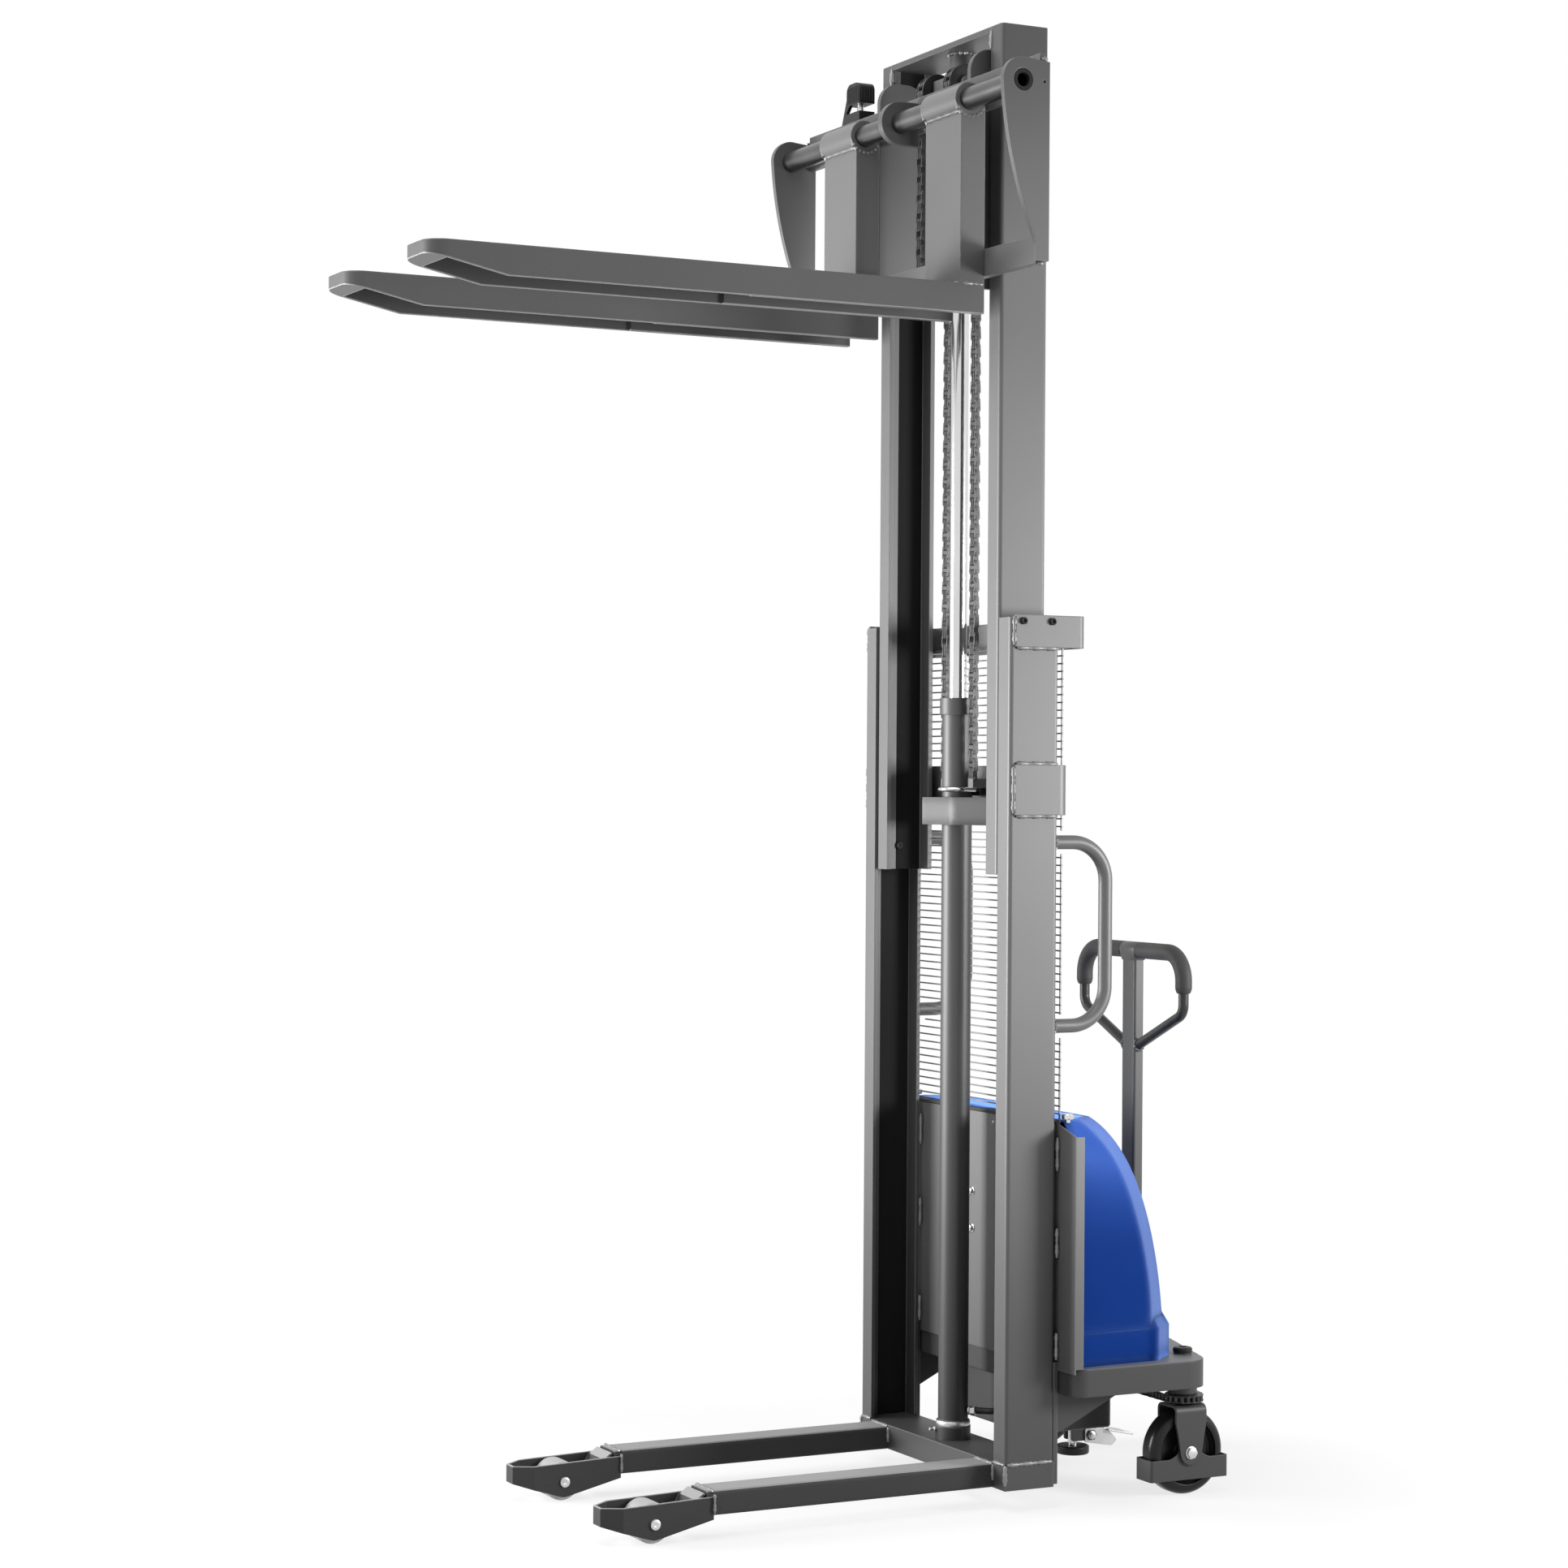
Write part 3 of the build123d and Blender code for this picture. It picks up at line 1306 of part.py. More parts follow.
# Controls on the hood's console: the lift lever and the stop button
console_y = mast_front + console_back
console_z = (console_bottom + console_top) / 2
with BuildPart() as lift_lever:
    with BuildSketch(Plane.YZ.offset(lever_x)):
        with Locations((console_y + slack + lever_boss_d / 2, console_z)):
            Circle(lever_boss_d / 2)
    extrude(amount=lever_boss_d / 2, both=True)
    with BuildSketch(Plane.XZ.offset(-console_y - lever_boss_d / 2)):
        with Locations((lever_x, console_z)):
            Circle(lever_arm_d / 2)
    extrude(amount=-lever_length)
    with Locations((lever_x, console_y + lever_boss_d / 2 + lever_length, console_z)):
        Sphere(lever_ball_d / 2)
save(lift_lever.part, "lift_lever")

with BuildPart() as stop_button:
    with BuildSketch(Plane.XZ.offset(-console_y - button_travel_gap)):
        with Locations((button_x, console_z)):
            Circle(button_d / 2)
    extrude(amount=-button_height)
    fillet(stop_button.faces().sort_by(Axis.Y)[-1].edges(), button_round)
    with BuildSketch(Plane.XZ.offset(-console_y - button_travel_gap)):
        with Locations((button_x, console_z)):
            Circle(button_stem_d / 2)
    extrude(amount=2 * button_travel_gap)
save(stop_button.part, "stop_button")
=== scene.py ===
import bpy
import bmesh
from math import cos, pi, radians, sin
from mathutils import Matrix, Vector


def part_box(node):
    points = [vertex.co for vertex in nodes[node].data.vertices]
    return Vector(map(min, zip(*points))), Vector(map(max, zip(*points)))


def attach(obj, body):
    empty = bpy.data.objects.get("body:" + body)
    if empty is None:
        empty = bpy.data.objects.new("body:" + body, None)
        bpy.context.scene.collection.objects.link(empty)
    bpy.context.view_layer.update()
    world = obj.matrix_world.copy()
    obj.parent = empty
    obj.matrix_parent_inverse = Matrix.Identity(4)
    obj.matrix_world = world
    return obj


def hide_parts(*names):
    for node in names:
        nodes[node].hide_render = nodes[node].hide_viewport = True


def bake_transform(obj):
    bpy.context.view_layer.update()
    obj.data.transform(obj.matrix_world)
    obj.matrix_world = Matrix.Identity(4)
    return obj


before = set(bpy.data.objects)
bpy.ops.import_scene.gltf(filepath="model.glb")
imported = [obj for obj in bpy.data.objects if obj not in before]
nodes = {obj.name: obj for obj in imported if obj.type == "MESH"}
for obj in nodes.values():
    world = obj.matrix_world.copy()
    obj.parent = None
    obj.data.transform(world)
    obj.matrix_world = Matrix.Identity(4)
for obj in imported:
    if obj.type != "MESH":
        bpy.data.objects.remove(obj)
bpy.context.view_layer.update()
scene = bpy.context.scene
scene.view_settings.view_transform = "Standard"
print("frame loaded:", len(nodes), "nodes")

# Camera, solved from straight edges of the photograph
cameraFacts = {"place": (6.2222, -3.1639, 1.4708), "yaw": 63.048, "pitch": -0.121, "roll": 0.386,
               "focalPixels": 4147.2, "imagePixels": 1932, "sensor": 36.0, "clipEnd": 100}


def placeCamera(facts):
    yaw, pitch, roll = (radians(facts[angle]) for angle in ("yaw", "pitch", "roll"))
    back = Vector((sin(yaw) * cos(pitch), -cos(yaw) * cos(pitch), sin(pitch)))
    right = Vector((cos(yaw), sin(yaw), 0))
    up = back.cross(right)
    turnedRight = cos(roll) * right + sin(roll) * up
    turnedUp = cos(roll) * up - sin(roll) * right
    data = bpy.data.cameras.new("photoCamera")
    data.sensor_width = facts["sensor"]
    data.lens = facts["focalPixels"] * facts["sensor"] / facts["imagePixels"]
    data.clip_end = facts["clipEnd"]
    camera = bpy.data.objects.new("photoCamera", data)
    scene.collection.objects.link(camera)
    turn = Matrix((turnedRight, turnedUp, back)).transposed().to_4x4()
    camera.matrix_world = Matrix.Translation(facts["place"]) @ turn
    scene.camera = camera


placeCamera(cameraFacts)


# Tools for node trees
def link(tree, source, target):
    tree.links.new(source, target)


def addNode(tree, kind, values=None, **settings):
    # a node with its settings, then a plain value or a link on each named input
    node = tree.nodes.new("ShaderNode" + kind)
    for setting, value in settings.items():
        setattr(node, setting, value)
    for socket, value in (values or {}).items():
        if hasattr(value, "is_linked"):
            link(tree, value, node.inputs[socket])
        else:
            node.inputs[socket].default_value = value
    return node


def mathNode(tree, operation, first, second=None, clamp=False):
    values = {0: first} if second is None else {0: first, 1: second}
    return addNode(tree, "Math", values, operation=operation, use_clamp=clamp).outputs[0]


def times(tree, first, second, clamp=False):
    return mathNode(tree, "MULTIPLY", first, second, clamp)


def mixColour(tree, share, first, second, how="MIX"):
    values = {"Factor": share, "A": first, "B": second}
    return addNode(tree, "Mix", values, data_type="RGBA", blend_type=how).outputs["Result"]


def noiseNode(tree, vector, scale, detail, roughness=0.5):
    values = {"Vector": vector, "Scale": scale, "Detail": detail, "Roughness": roughness}
    return addNode(tree, "TexNoise", values).outputs["Fac"]


def objectPlace(tree):
    return addNode(tree, "TexCoord").outputs["Object"]


# Floor, world and lamps
stageFacts = {"floorHalf": 30.0, "whiteFrom": 0.9, "whiteTo": 2.2, "floorColour": (0.52, 0.52, 0.52, 1),
              "shadowShare": 0.45, "nearLevel": 1.36, "worldLevel": 0.29, "worldColour": (1.0, 1.0, 1.0, 1),
              "backdrop": (1.0, 1.0, 1.0, 1)}
lamps = {
    "overhead": {"place": (0.4, -1.8, 5.4), "aim": (0, 0, 1.2), "size": (3.6, 3.6), "watts": 150},
    "front": {"place": (-2.2, -3.8, 1.4), "aim": (0, 0.3, 1.2), "size": (2.0, 2.0), "watts": 310},
    "side": {"place": (2.8, 3.2, 1.6), "aim": (0, 0.35, 1.45), "size": (1.3, 1.2), "watts": 132},
}


def cameraRays(tree):
    # camera, glossy and transmission rays all see the pale backdrop
    path = addNode(tree, "LightPath")
    seen = mathNode(tree, "MAXIMUM", path.outputs["Is Camera Ray"], path.outputs["Is Glossy Ray"])
    return mathNode(tree, "MAXIMUM", seen, path.outputs["Is Transmission Ray"])


def makeFloor(facts):
    shape = bmesh.new()
    bmesh.ops.create_grid(shape, x_segments=2, y_segments=2, size=facts["floorHalf"])
    mesh = bpy.data.meshes.new("floor")
    shape.to_mesh(mesh)
    shape.free()
    floor = bpy.data.objects.new("floor", mesh)
    scene.collection.objects.link(floor)
    paint = bpy.data.materials.new("paleFloor")
    paint.use_nodes = True
    tree = paint.node_tree
    tree.nodes.clear()
    reach = addNode(tree, "VectorMath", {0: objectPlace(tree)}, operation="LENGTH").outputs["Value"]
    span = {"Value": reach, "From Min": facts["whiteFrom"], "From Max": facts["whiteTo"]}
    fade = addNode(tree, "MapRange", {"To Min": 1 - facts["shadowShare"], **span},
                   interpolation_type="SMOOTHSTEP")
    level = addNode(tree, "MapRange", {"To Min": facts["nearLevel"], **span})
    shade = addNode(tree, "BsdfDiffuse", {"Color": facts["floorColour"]})
    white = addNode(tree, "Emission", {"Strength": level.outputs["Result"]})
    gate = times(tree, fade.outputs["Result"], cameraRays(tree))
    blend = addNode(tree, "MixShader", {"Fac": gate, 1: shade.outputs[0], 2: white.outputs[0]})
    addNode(tree, "OutputMaterial", {"Surface": blend.outputs[0]})
    floor.data.materials.append(paint)


def makeWorld(facts):
    world = bpy.data.worlds.new("studio")
    world.use_nodes = True
    scene.world = world
    tree = world.node_tree
    tree.nodes.clear()
    room = addNode(tree, "Background", {"Color": facts["worldColour"], "Strength": facts["worldLevel"]})
    white = addNode(tree, "Background", {"Color": facts["backdrop"]})
    blend = addNode(tree, "MixShader", {"Fac": cameraRays(tree), 1: room.outputs[0], 2: white.outputs[0]})
    addNode(tree, "OutputWorld", {"Surface": blend.outputs[0]})


def makeLamps(rows):
    for name, row in rows.items():
        data = bpy.data.lights.new(name, "AREA")
        data.shape = "RECTANGLE"
        data.size, data.size_y = row["size"]
        data.energy = row["watts"]
        lamp = bpy.data.objects.new(name, data)
        scene.collection.objects.link(lamp)
        place = Vector(row["place"])
        lamp.location = place
        lamp.visible_camera = False
        lamp.rotation_euler = (Vector(row["aim"]) - place).to_track_quat("-Z", "Y").to_euler()


makeFloor(stageFacts)
makeWorld(stageFacts)
makeLamps(lamps)
print("stage lit by", len(lamps), "lamps")


# Shared effects
def newGroup(name, **inputs):
    # one number or vector socket for each named input
    group = bpy.data.node_groups.new(name, "ShaderNodeTree")
    for label, value in inputs.items():
        kind = "NodeSocketFloat" if isinstance(value, float) else "NodeSocketVector"
        group.interface.new_socket(name=label, in_out="INPUT", socket_type=kind).default_value = value
    return group, group.nodes.new("NodeGroupInput").outputs


def closeGroup(group, **results):
    # one output for each named result, of the result's own kind
    for label, result in results.items():
        kind = "NodeSocketVector" if result.type == "VECTOR" else "NodeSocketFloat"
        group.interface.new_socket(name=label, in_out="OUTPUT", socket_type=kind)
    end = group.nodes.new("NodeGroupOutput")
    for label, result in results.items():
        link(group, result, end.inputs[label])
    return group


def placeGroup(tree, group, **values):
    return addNode(tree, "Group", values, node_tree=group).outputs


def above(tree, value, limit, gain):
    # nought up to the limit, then rising to one
    return times(tree, mathNode(tree, "SUBTRACT", value, limit), gain, clamp=True)


edgeMaskFacts = {"samples": 4, "edgeGain": 5.0, "grainDetail": 4.0, "grainRough": 0.65, "breakFrom": 0.47,
             "breakGain": 6.0, "lean": 0.2, "upright": 0.7}


def edgeMaskGroup(facts):
    # masks for outward edges, whole and below and above for painted highlights, worn in patches, and for
    # faces that look up, which take painted light
    group, start = newGroup("edgeMasks", Radius=0.003, Grain=60.0)
    soft = addNode(group, "Bevel", {"Radius": start["Radius"]}, samples=facts["samples"]).outputs["Normal"]
    flat = addNode(group, "NewGeometry").outputs["Normal"]
    dot = addNode(group, "VectorMath", {0: soft, 1: flat}, operation="DOT_PRODUCT").outputs["Value"]
    edge = times(group, mathNode(group, "SUBTRACT", 1.0, dot), facts["edgeGain"], clamp=True)
    grain = noiseNode(group, objectPlace(group), start["Grain"], facts["grainDetail"], facts["grainRough"])
    broken = above(group, grain, facts["breakFrom"], facts["breakGain"])
    softRise, flatRise = (addNode(group, "SeparateXYZ", {0: normal}).outputs["Z"] for normal in (soft, flat))
    return closeGroup(group, Edge=edge, Worn=times(group, edge, broken),
                      Under=times(group, edge, mathNode(group, "LESS_THAN", softRise, -facts["lean"])),
                      Over=times(group, edge, mathNode(group, "GREATER_THAN", softRise, facts["lean"])),
                      Top=mathNode(group, "GREATER_THAN", flatRise, facts["upright"]), Rounded=soft)


coatFacts = {"peelDetail": 2.0, "driftDetail": 3.0, "fleckScale": 260.0, "fleckDetail": 3.0,
             "fleckRough": 0.7, "fleckFrom": 0.62, "fleckGain": 5.0}


def sprayGroup(facts):
    # orange peel, drifts of tone and a little dust, as sprayed paint has
    group, start = newGroup("sprayedCoat", Peel=900.0, Drift=3.0)
    place = objectPlace(group)
    fleck = noiseNode(group, place, facts["fleckScale"], facts["fleckDetail"], facts["fleckRough"])
    return closeGroup(group, Height=noiseNode(group, place, start["Peel"], facts["peelDetail"]),
                      Tone=noiseNode(group, place, start["Drift"], facts["driftDetail"]),
                      Fleck=above(group, fleck, facts["fleckFrom"], facts["fleckGain"]))


streakFacts = {"squeeze": (1, 1, 0.03), "scale": 55.0, "detail": 4.0, "rough": 0.6}


def zoneGroup(facts):
    # one inside a box of the piece, both sides of the middle plane alike, zero elsewhere; streaks run upright
    group, start = newGroup("boxZone", Low=(0, 0, 0), High=(0, 0, 0))
    place = objectPlace(group)
    here, low, high = (addNode(group, "SeparateXYZ", {0: source}).outputs
                       for source in (place, start["Low"], start["High"]))
    inside = 1.0
    for axis in ("X", "Y", "Z"):
        value = mathNode(group, "ABSOLUTE", here[axis]) if axis == "X" else here[axis]
        inside = times(group, mathNode(group, "GREATER_THAN", value, low[axis]), inside)
        inside = times(group, mathNode(group, "LESS_THAN", value, high[axis]), inside)
    drawn = addNode(group, "VectorMath", {0: place, 1: facts["squeeze"]}, operation="MULTIPLY")
    streak = noiseNode(group, drawn.outputs["Vector"], facts["scale"], facts["detail"], facts["rough"])
    return closeGroup(group, Inside=inside, Streak=streak)


def heightGroup():
    # nought at the low height, one at the high one
    group, start = newGroup("heightFade", Low=0.0, High=1.0)
    height = addNode(group, "SeparateXYZ", {0: objectPlace(group)}).outputs["Z"]
    ramp = addNode(group, "MapRange", {"Value": height, "From Min": start["Low"], "From Max": start["High"]},
                   interpolation_type="SMOOTHSTEP")
    return closeGroup(group, Share=ramp.outputs["Result"])


edgeMasks = edgeMaskGroup(edgeMaskFacts)
heightFade = heightGroup()
sprayedCoat = sprayGroup(coatFacts)
boxZone = zoneGroup(streakFacts)


def coatedMaterial(name, facts):
    # a coat over bare stock: edges rub to the worn tone and take painted highlights in it, the tone drifts,
    # fine peel catches the light
    material = bpy.data.materials.new(name)
    material.use_nodes = True
    tree = material.node_tree
    shader = tree.nodes["Principled BSDF"]
    # masks for wear, for painted highlights along edges, for faces that look up, and a rounded normal
    wear = placeGroup(tree, edgeMasks, Radius=facts["round"], Grain=facts["wearGrain"])
    coat = placeGroup(tree, sprayedCoat, Peel=facts["peel"], Drift=facts["drift"])
    tone = mixColour(tree, coat["Tone"], facts["dark"], facts["light"])
    if "fade" in facts:
        # painted light and shade: another tone toward the top of the piece
        fade = facts["fade"]
        height = placeGroup(tree, heightFade, Low=fade["low"], High=fade["high"])
        tone = mixColour(tree, times(tree, height["Share"], fade["share"]), tone, fade["colour"])
    if "grime" in facts:
        # painted shade, darker toward the floor
        grime = facts["grime"]
        height = placeGroup(tree, heightFade, Low=grime["low"], High=grime["high"])
        nearFloor = mathNode(tree, "SUBTRACT", 1.0, height["Share"])
        tone = mixColour(tree, nearFloor, tone, grime["colour"], "MULTIPLY")
    if "paintedTopLight" in facts:
        # painted light on faces that look up
        paintedTopLight = facts["paintedTopLight"]
        tone = mixColour(tree, times(tree, wear["Top"], paintedTopLight["share"]), tone, paintedTopLight["colour"])
    tone = mixColour(tree, times(tree, coat["Fleck"], facts["fleck"]), tone, facts["wornAndHighlight"])
    # rubbed patches, and painted highlights along all edges, edges facing down and edges facing up, all in
    # the pale tone
    rubAndHighlight = mathNode(tree, "MAXIMUM", times(tree, wear["Worn"], facts["wear"]),
                    times(tree, wear["Edge"], facts["edge"]))
    for label in ("Under", "Over"):
        if label.lower() in facts:
            rubAndHighlight = mathNode(tree, "MAXIMUM", rubAndHighlight, times(tree, wear[label], facts[label.lower()]))
    tone = mixColour(tree, rubAndHighlight, tone, facts["wornAndHighlight"])
    if "rim" in facts:
        # a painted sheen, paler where the surface turns away
        rim = facts["rim"]
        turned = addNode(tree, "LayerWeight", {"Normal": wear["Rounded"]}).outputs["Facing"]
        away = mathNode(tree, "POWER", turned, rim["power"])
        tone = mixColour(tree, times(tree, away, rim["share"]), tone, rim["colour"])
    rough = mathNode(tree, "ADD", times(tree, coat["Tone"], facts["roughSpread"]), facts["rough"])
    plain = {"Metallic": facts["metal"], "Specular IOR Level": facts["shine"], "Coat Weight": facts["gloss"],
             "Coat Roughness": facts["glossRough"]}
    if "sheen" in facts:
        plain.update({"Sheen Weight": facts["sheen"], "Sheen Roughness": facts["sheenRough"],
                      "Sheen Tint": facts["sheenTint"], "Specular Tint": facts["sheenTint"]})
    for socket, value in plain.items():
        shader.inputs[socket].default_value = value
    if "zone" in facts:
        # another finish inside one box of the piece
        zone = facts["zone"]
        box = placeGroup(tree, boxZone, Low=zone["low"], High=zone["high"])
        share = times(tree, box["Inside"], zone["share"])
        tone = mixColour(tree, share, tone, mixColour(tree, box["Streak"], zone["dark"], zone["light"]))
        swing = times(tree, share, zone["metal"] - facts["metal"])
        link(tree, mathNode(tree, "ADD", swing, facts["metal"]), shader.inputs["Metallic"])
        rough = mathNode(tree, "ADD", rough, times(tree, share, zone["rough"] - facts["rough"]))
        if facts["gloss"]:
            # the zone is matt, the rest keeps its coat
            outside = mathNode(tree, "SUBTRACT", 1.0, share)
            link(tree, times(tree, outside, facts["gloss"]), shader.inputs["Coat Weight"])
    bump = addNode(tree, "Bump", {"Strength": facts["bump"], "Distance": facts["bumpDepth"],
                                  "Height": coat["Height"], "Normal": wear["Rounded"]})
    for socket, source in (("Base Color", tone), ("Roughness", rough), ("Normal", bump.outputs["Normal"])):
        link(tree, source, shader.inputs[socket])
    return material


def grey(level):
    return (level, level, level, 1)


def greys(dark, light, wornAndHighlight=None):
    tones = {"dark": grey(dark), "light": grey(light)}
    return tones if wornAndHighlight is None else {**tones, "wornAndHighlight": grey(wornAndHighlight)}


# What every finish has, unless its own row says otherwise
plainCoat = {"round": 0.003, "wearGrain": 60, "peel": 900, "drift": 9.0, "fleck": 0.10, "wear": 0.3,
             "edge": 0.0, "rough": 0.30, "roughSpread": 0.12, "bump": 0.08, "bumpDepth": 0.0006,
             "metal": 0.0, "shine": 0.5, "gloss": 0.0, "glossRough": 0.12}
ownFacts = {
    # the edge share is a painted highlight along every edge; the tone is painted darker toward the floor and
    # toward the top, as painted shade
    "graphitePaint": {
        **greys(0.130, 0.175, 0.42), "wearGrain": 70, "peel": 950, "drift": 2.2, "wear": 0.5, "edge": 0.45,
        "rough": 0.38, "bump": 0.10, "metal": 0.30, "shine": 0.4,
        "grime": {"low": 0.0, "high": 1.1, "colour": grey(0.43)},
        "fade": {"low": 2.60, "high": 3.05, "share": 0.8, "colour": grey(0.065)}},
    "shadePaint": {
        **greys(0.050, 0.068, 0.22), "wearGrain": 70, "peel": 950, "drift": 2.2, "wear": 0.4, "rough": 0.40,
        "bump": 0.10, "metal": 0.20, "shine": 0.3},
    # weld beads are painted paler than the coat round them, as painted highlight
    "weldPaint": {
        **greys(0.150, 0.300, 0.62), "round": 0.0015, "wearGrain": 160, "peel": 500, "drift": 60.0,
        "fleck": 0.25, "wear": 0.6, "roughSpread": 0.2, "bump": 0.25, "metal": 0.35},
    "hoodBlue": {
        "dark": (0.003, 0.026, 0.180, 1), "light": (0.005, 0.040, 0.250, 1), "wornAndHighlight": (0.06, 0.16, 0.55, 1),
        "round": 0.028, "wearGrain": 40, "peel": 700, "drift": 3.0, "fleck": 0.03, "wear": 0.0, "rough": 0.34,
        "shine": 0.10, "sheen": 1.0, "sheenRough": 0.35, "sheenTint": (0.14, 0.34, 1.0, 1),
        # the rim share is a painted sheen; the fade paints the hood paler toward its top, as painted light
        # from above
        "rim": {"power": 3.2, "share": 1.0, "colour": (0.30, 0.45, 0.92, 1)},
        "fade": {"low": 0.52, "high": 0.80, "share": 0.75, "colour": (0.045, 0.13, 0.56, 1)}},
    "brightChrome": {
        **greys(0.58, 0.76, 0.50), "round": 0.0015, "wearGrain": 90, "peel": 400, "drift": 6.0, "wear": 0.2,
        "rough": 0.07, "roughSpread": 0.10, "bump": 0.02, "metal": 1.0},
    "turnedSteel": {
        **greys(0.085, 0.165, 0.45), "round": 0.002, "wearGrain": 80, "peel": 500, "fleck": 0.15, "wear": 0.4,
        "rough": 0.24, "roughSpread": 0.16, "bump": 0.05, "metal": 1.0},
    "zincPlate": {
        **greys(0.46, 0.62, 0.72), "round": 0.0015, "wearGrain": 120, "peel": 600, "drift": 20.0,
        "fleck": 0.15, "wear": 0.4, "roughSpread": 0.15, "bump": 0.05, "metal": 1.0},
    "paleRoller": {
        **greys(0.34, 0.50, 0.26), "wearGrain": 50, "peel": 500, "drift": 12.0, "fleck": 0.25, "rough": 0.38,
        "roughSpread": 0.18, "bump": 0.06, "metal": 0.55},
    "oiledChain": {
        **greys(0.022, 0.065, 0.34), "round": 0.0012, "wearGrain": 160, "peel": 800, "drift": 30.0,
        "fleck": 0.20, "wear": 0.5, "roughSpread": 0.2, "metal": 0.6, "shine": 0.4},
    "blackTyre": {
        **greys(0.006, 0.011, 0.04), "round": 0.004, "peel": 600, "drift": 8.0, "fleck": 0.08, "wear": 0.4,
        "rough": 0.22, "roughSpread": 0.16, "bump": 0.06, "shine": 0.25},
    "gripRubber": {
        **greys(0.042, 0.060, 0.08), "peel": 1500, "fleck": 0.15, "rough": 0.52, "roughSpread": 0.14,
        "bump": 0.35, "shine": 0.4},
    "blackMoulding": {
        **greys(0.010, 0.018, 0.06), "peel": 1300, "drift": 10.0, "fleck": 0.15, "rough": 0.36,
        "roughSpread": 0.15, "bump": 0.25, "shine": 0.25},
    "guardWire": {
        **greys(0.24, 0.33, 0.45), "round": 0.0008, "wearGrain": 90, "drift": 4.0, "rough": 0.36,
        "metal": 0.4},
    "stopRed": {
        "dark": (0.42, 0.012, 0.010, 1), "light": (0.55, 0.020, 0.015, 1), "wornAndHighlight": (0.62, 0.12, 0.10, 1),
        "drift": 12.0, "fleck": 0.05, "shine": 0.3},
}
finishes = {name: {**plainCoat, **facts} for name, facts in ownFacts.items()}

# Painted shade, near-black and matt, darkens the roller tracks inside the channels; bright pins stand out of
# black pieces
paintedShade = {**greys(0.003, 0.014), "metal": 0.0, "rough": 0.55, "share": 0.97}
bright = {**greys(0.50, 0.75), "metal": 1.0, "rough": 0.10, "share": 1.0}
loop = {**greys(0.018, 0.034), "metal": 0.0, "rough": 0.28, "share": 1.0}
track = {"shine": 0.08, "gloss": 0.40, "glossRough": 0.42}
# Finishes that change another one: (the one they start from, what they change)
variants = {
    "innerTrack": ("graphitePaint", {
        **track, "zone": {**paintedShade, "low": (0.0, 0.402, 1.0), "high": (0.2485, 0.461, 4.0)}}),
    "outerTrack": ("graphitePaint", {
        **track,
        "zone": {**paintedShade, "share": 0.92, "low": (0.0, 0.395, 0.0), "high": (0.3025, 0.4655, 4.0)}}),
    # the shaft's ends: dark oxide on the end faces, painted shade in the bore
    "shaftSteel": ("turnedSteel", {
        "shine": 0.08,
        "zone": {**paintedShade, "light": grey(0.05), "rough": 0.4, "low": (0.4975, 0.2, 2.8),
                 "high": (0.6, 0.3, 3.0)}}),
    "padStem": ("blackMoulding", {"zone": {**bright, "low": (-1, 0.0, 0.0584), "high": (1.0, 2.0, 0.2)}}),
    "catchPin": ("blackMoulding", {
        "zone": {**bright, "low": (0.3055, 0.3285, 2.9655), "high": (0.3225, 0.3465, 2.9826)}}),
    "bowedPaint": ("graphitePaint", {"round": 0.030, "wear": 0.0, "edge": 0.0}),
    # a matt copy of the graphite paint, darker as painted shade, with painted light on the faces that look up
    "shadedLegPaint": ("graphitePaint", {
        **greys(0.115, 0.145), "metal": 0.0, "shine": 0.10, "rough": 0.52, "roughSpread": 0.10,
        "paintedTopLight": {"share": 0.7, "colour": grey(0.42)}}),
    # the leg tips' top edges take a painted highlight, and all their edges a faint one, in a paler tone
    "tipPaint": ("shadedLegPaint", {"edge": 0.06, "over": 0.85, "wear": 0.2, "wornAndHighlight": grey(0.70)}),
    # the blades are darker than the shank above them, as painted shade; their edges take a painted highlight
    # in a pale tone, strongest on the edges facing down
    "forkPaint": ("graphitePaint", {
        **greys(0.080, 0.105, 0.75), "round": 0.004, "wear": 0.3, "edge": 0.12, "under": 0.95,
        "fade": {"low": 2.50, "high": 2.60, "share": 1.0, "colour": grey(0.150)}}),
    # painted light on the platform's faces that look up
    "platformPaint": ("shadePaint", {"paintedTopLight": {"share": 0.6, "colour": grey(0.26)}}),
    "saddlePaint": ("graphitePaint", greys(0.085, 0.115)),
    "tillerPaint": ("saddlePaint", {"zone": {**loop, "low": (0.0264, 0.7, 0.88), "high": (0.4, 1.0, 1.3)}}),
    "liftLinks": ("oiledChain", greys(0.060, 0.150, 0.50)),
    "barrelPaint": ("graphitePaint", {**greys(0.085, 0.115), "metal": 0.60, "rough": 0.42}),
    # a lighter copy of the graphite paint, as painted light on the front panel
    "litPanelPaint": ("graphitePaint", greys(0.210, 0.260)),
}
for name, (base, changes) in variants.items():
    finishes[name] = {**finishes[base], **changes}
coats = {name: coatedMaterial(name, facts) for name, facts in finishes.items()}

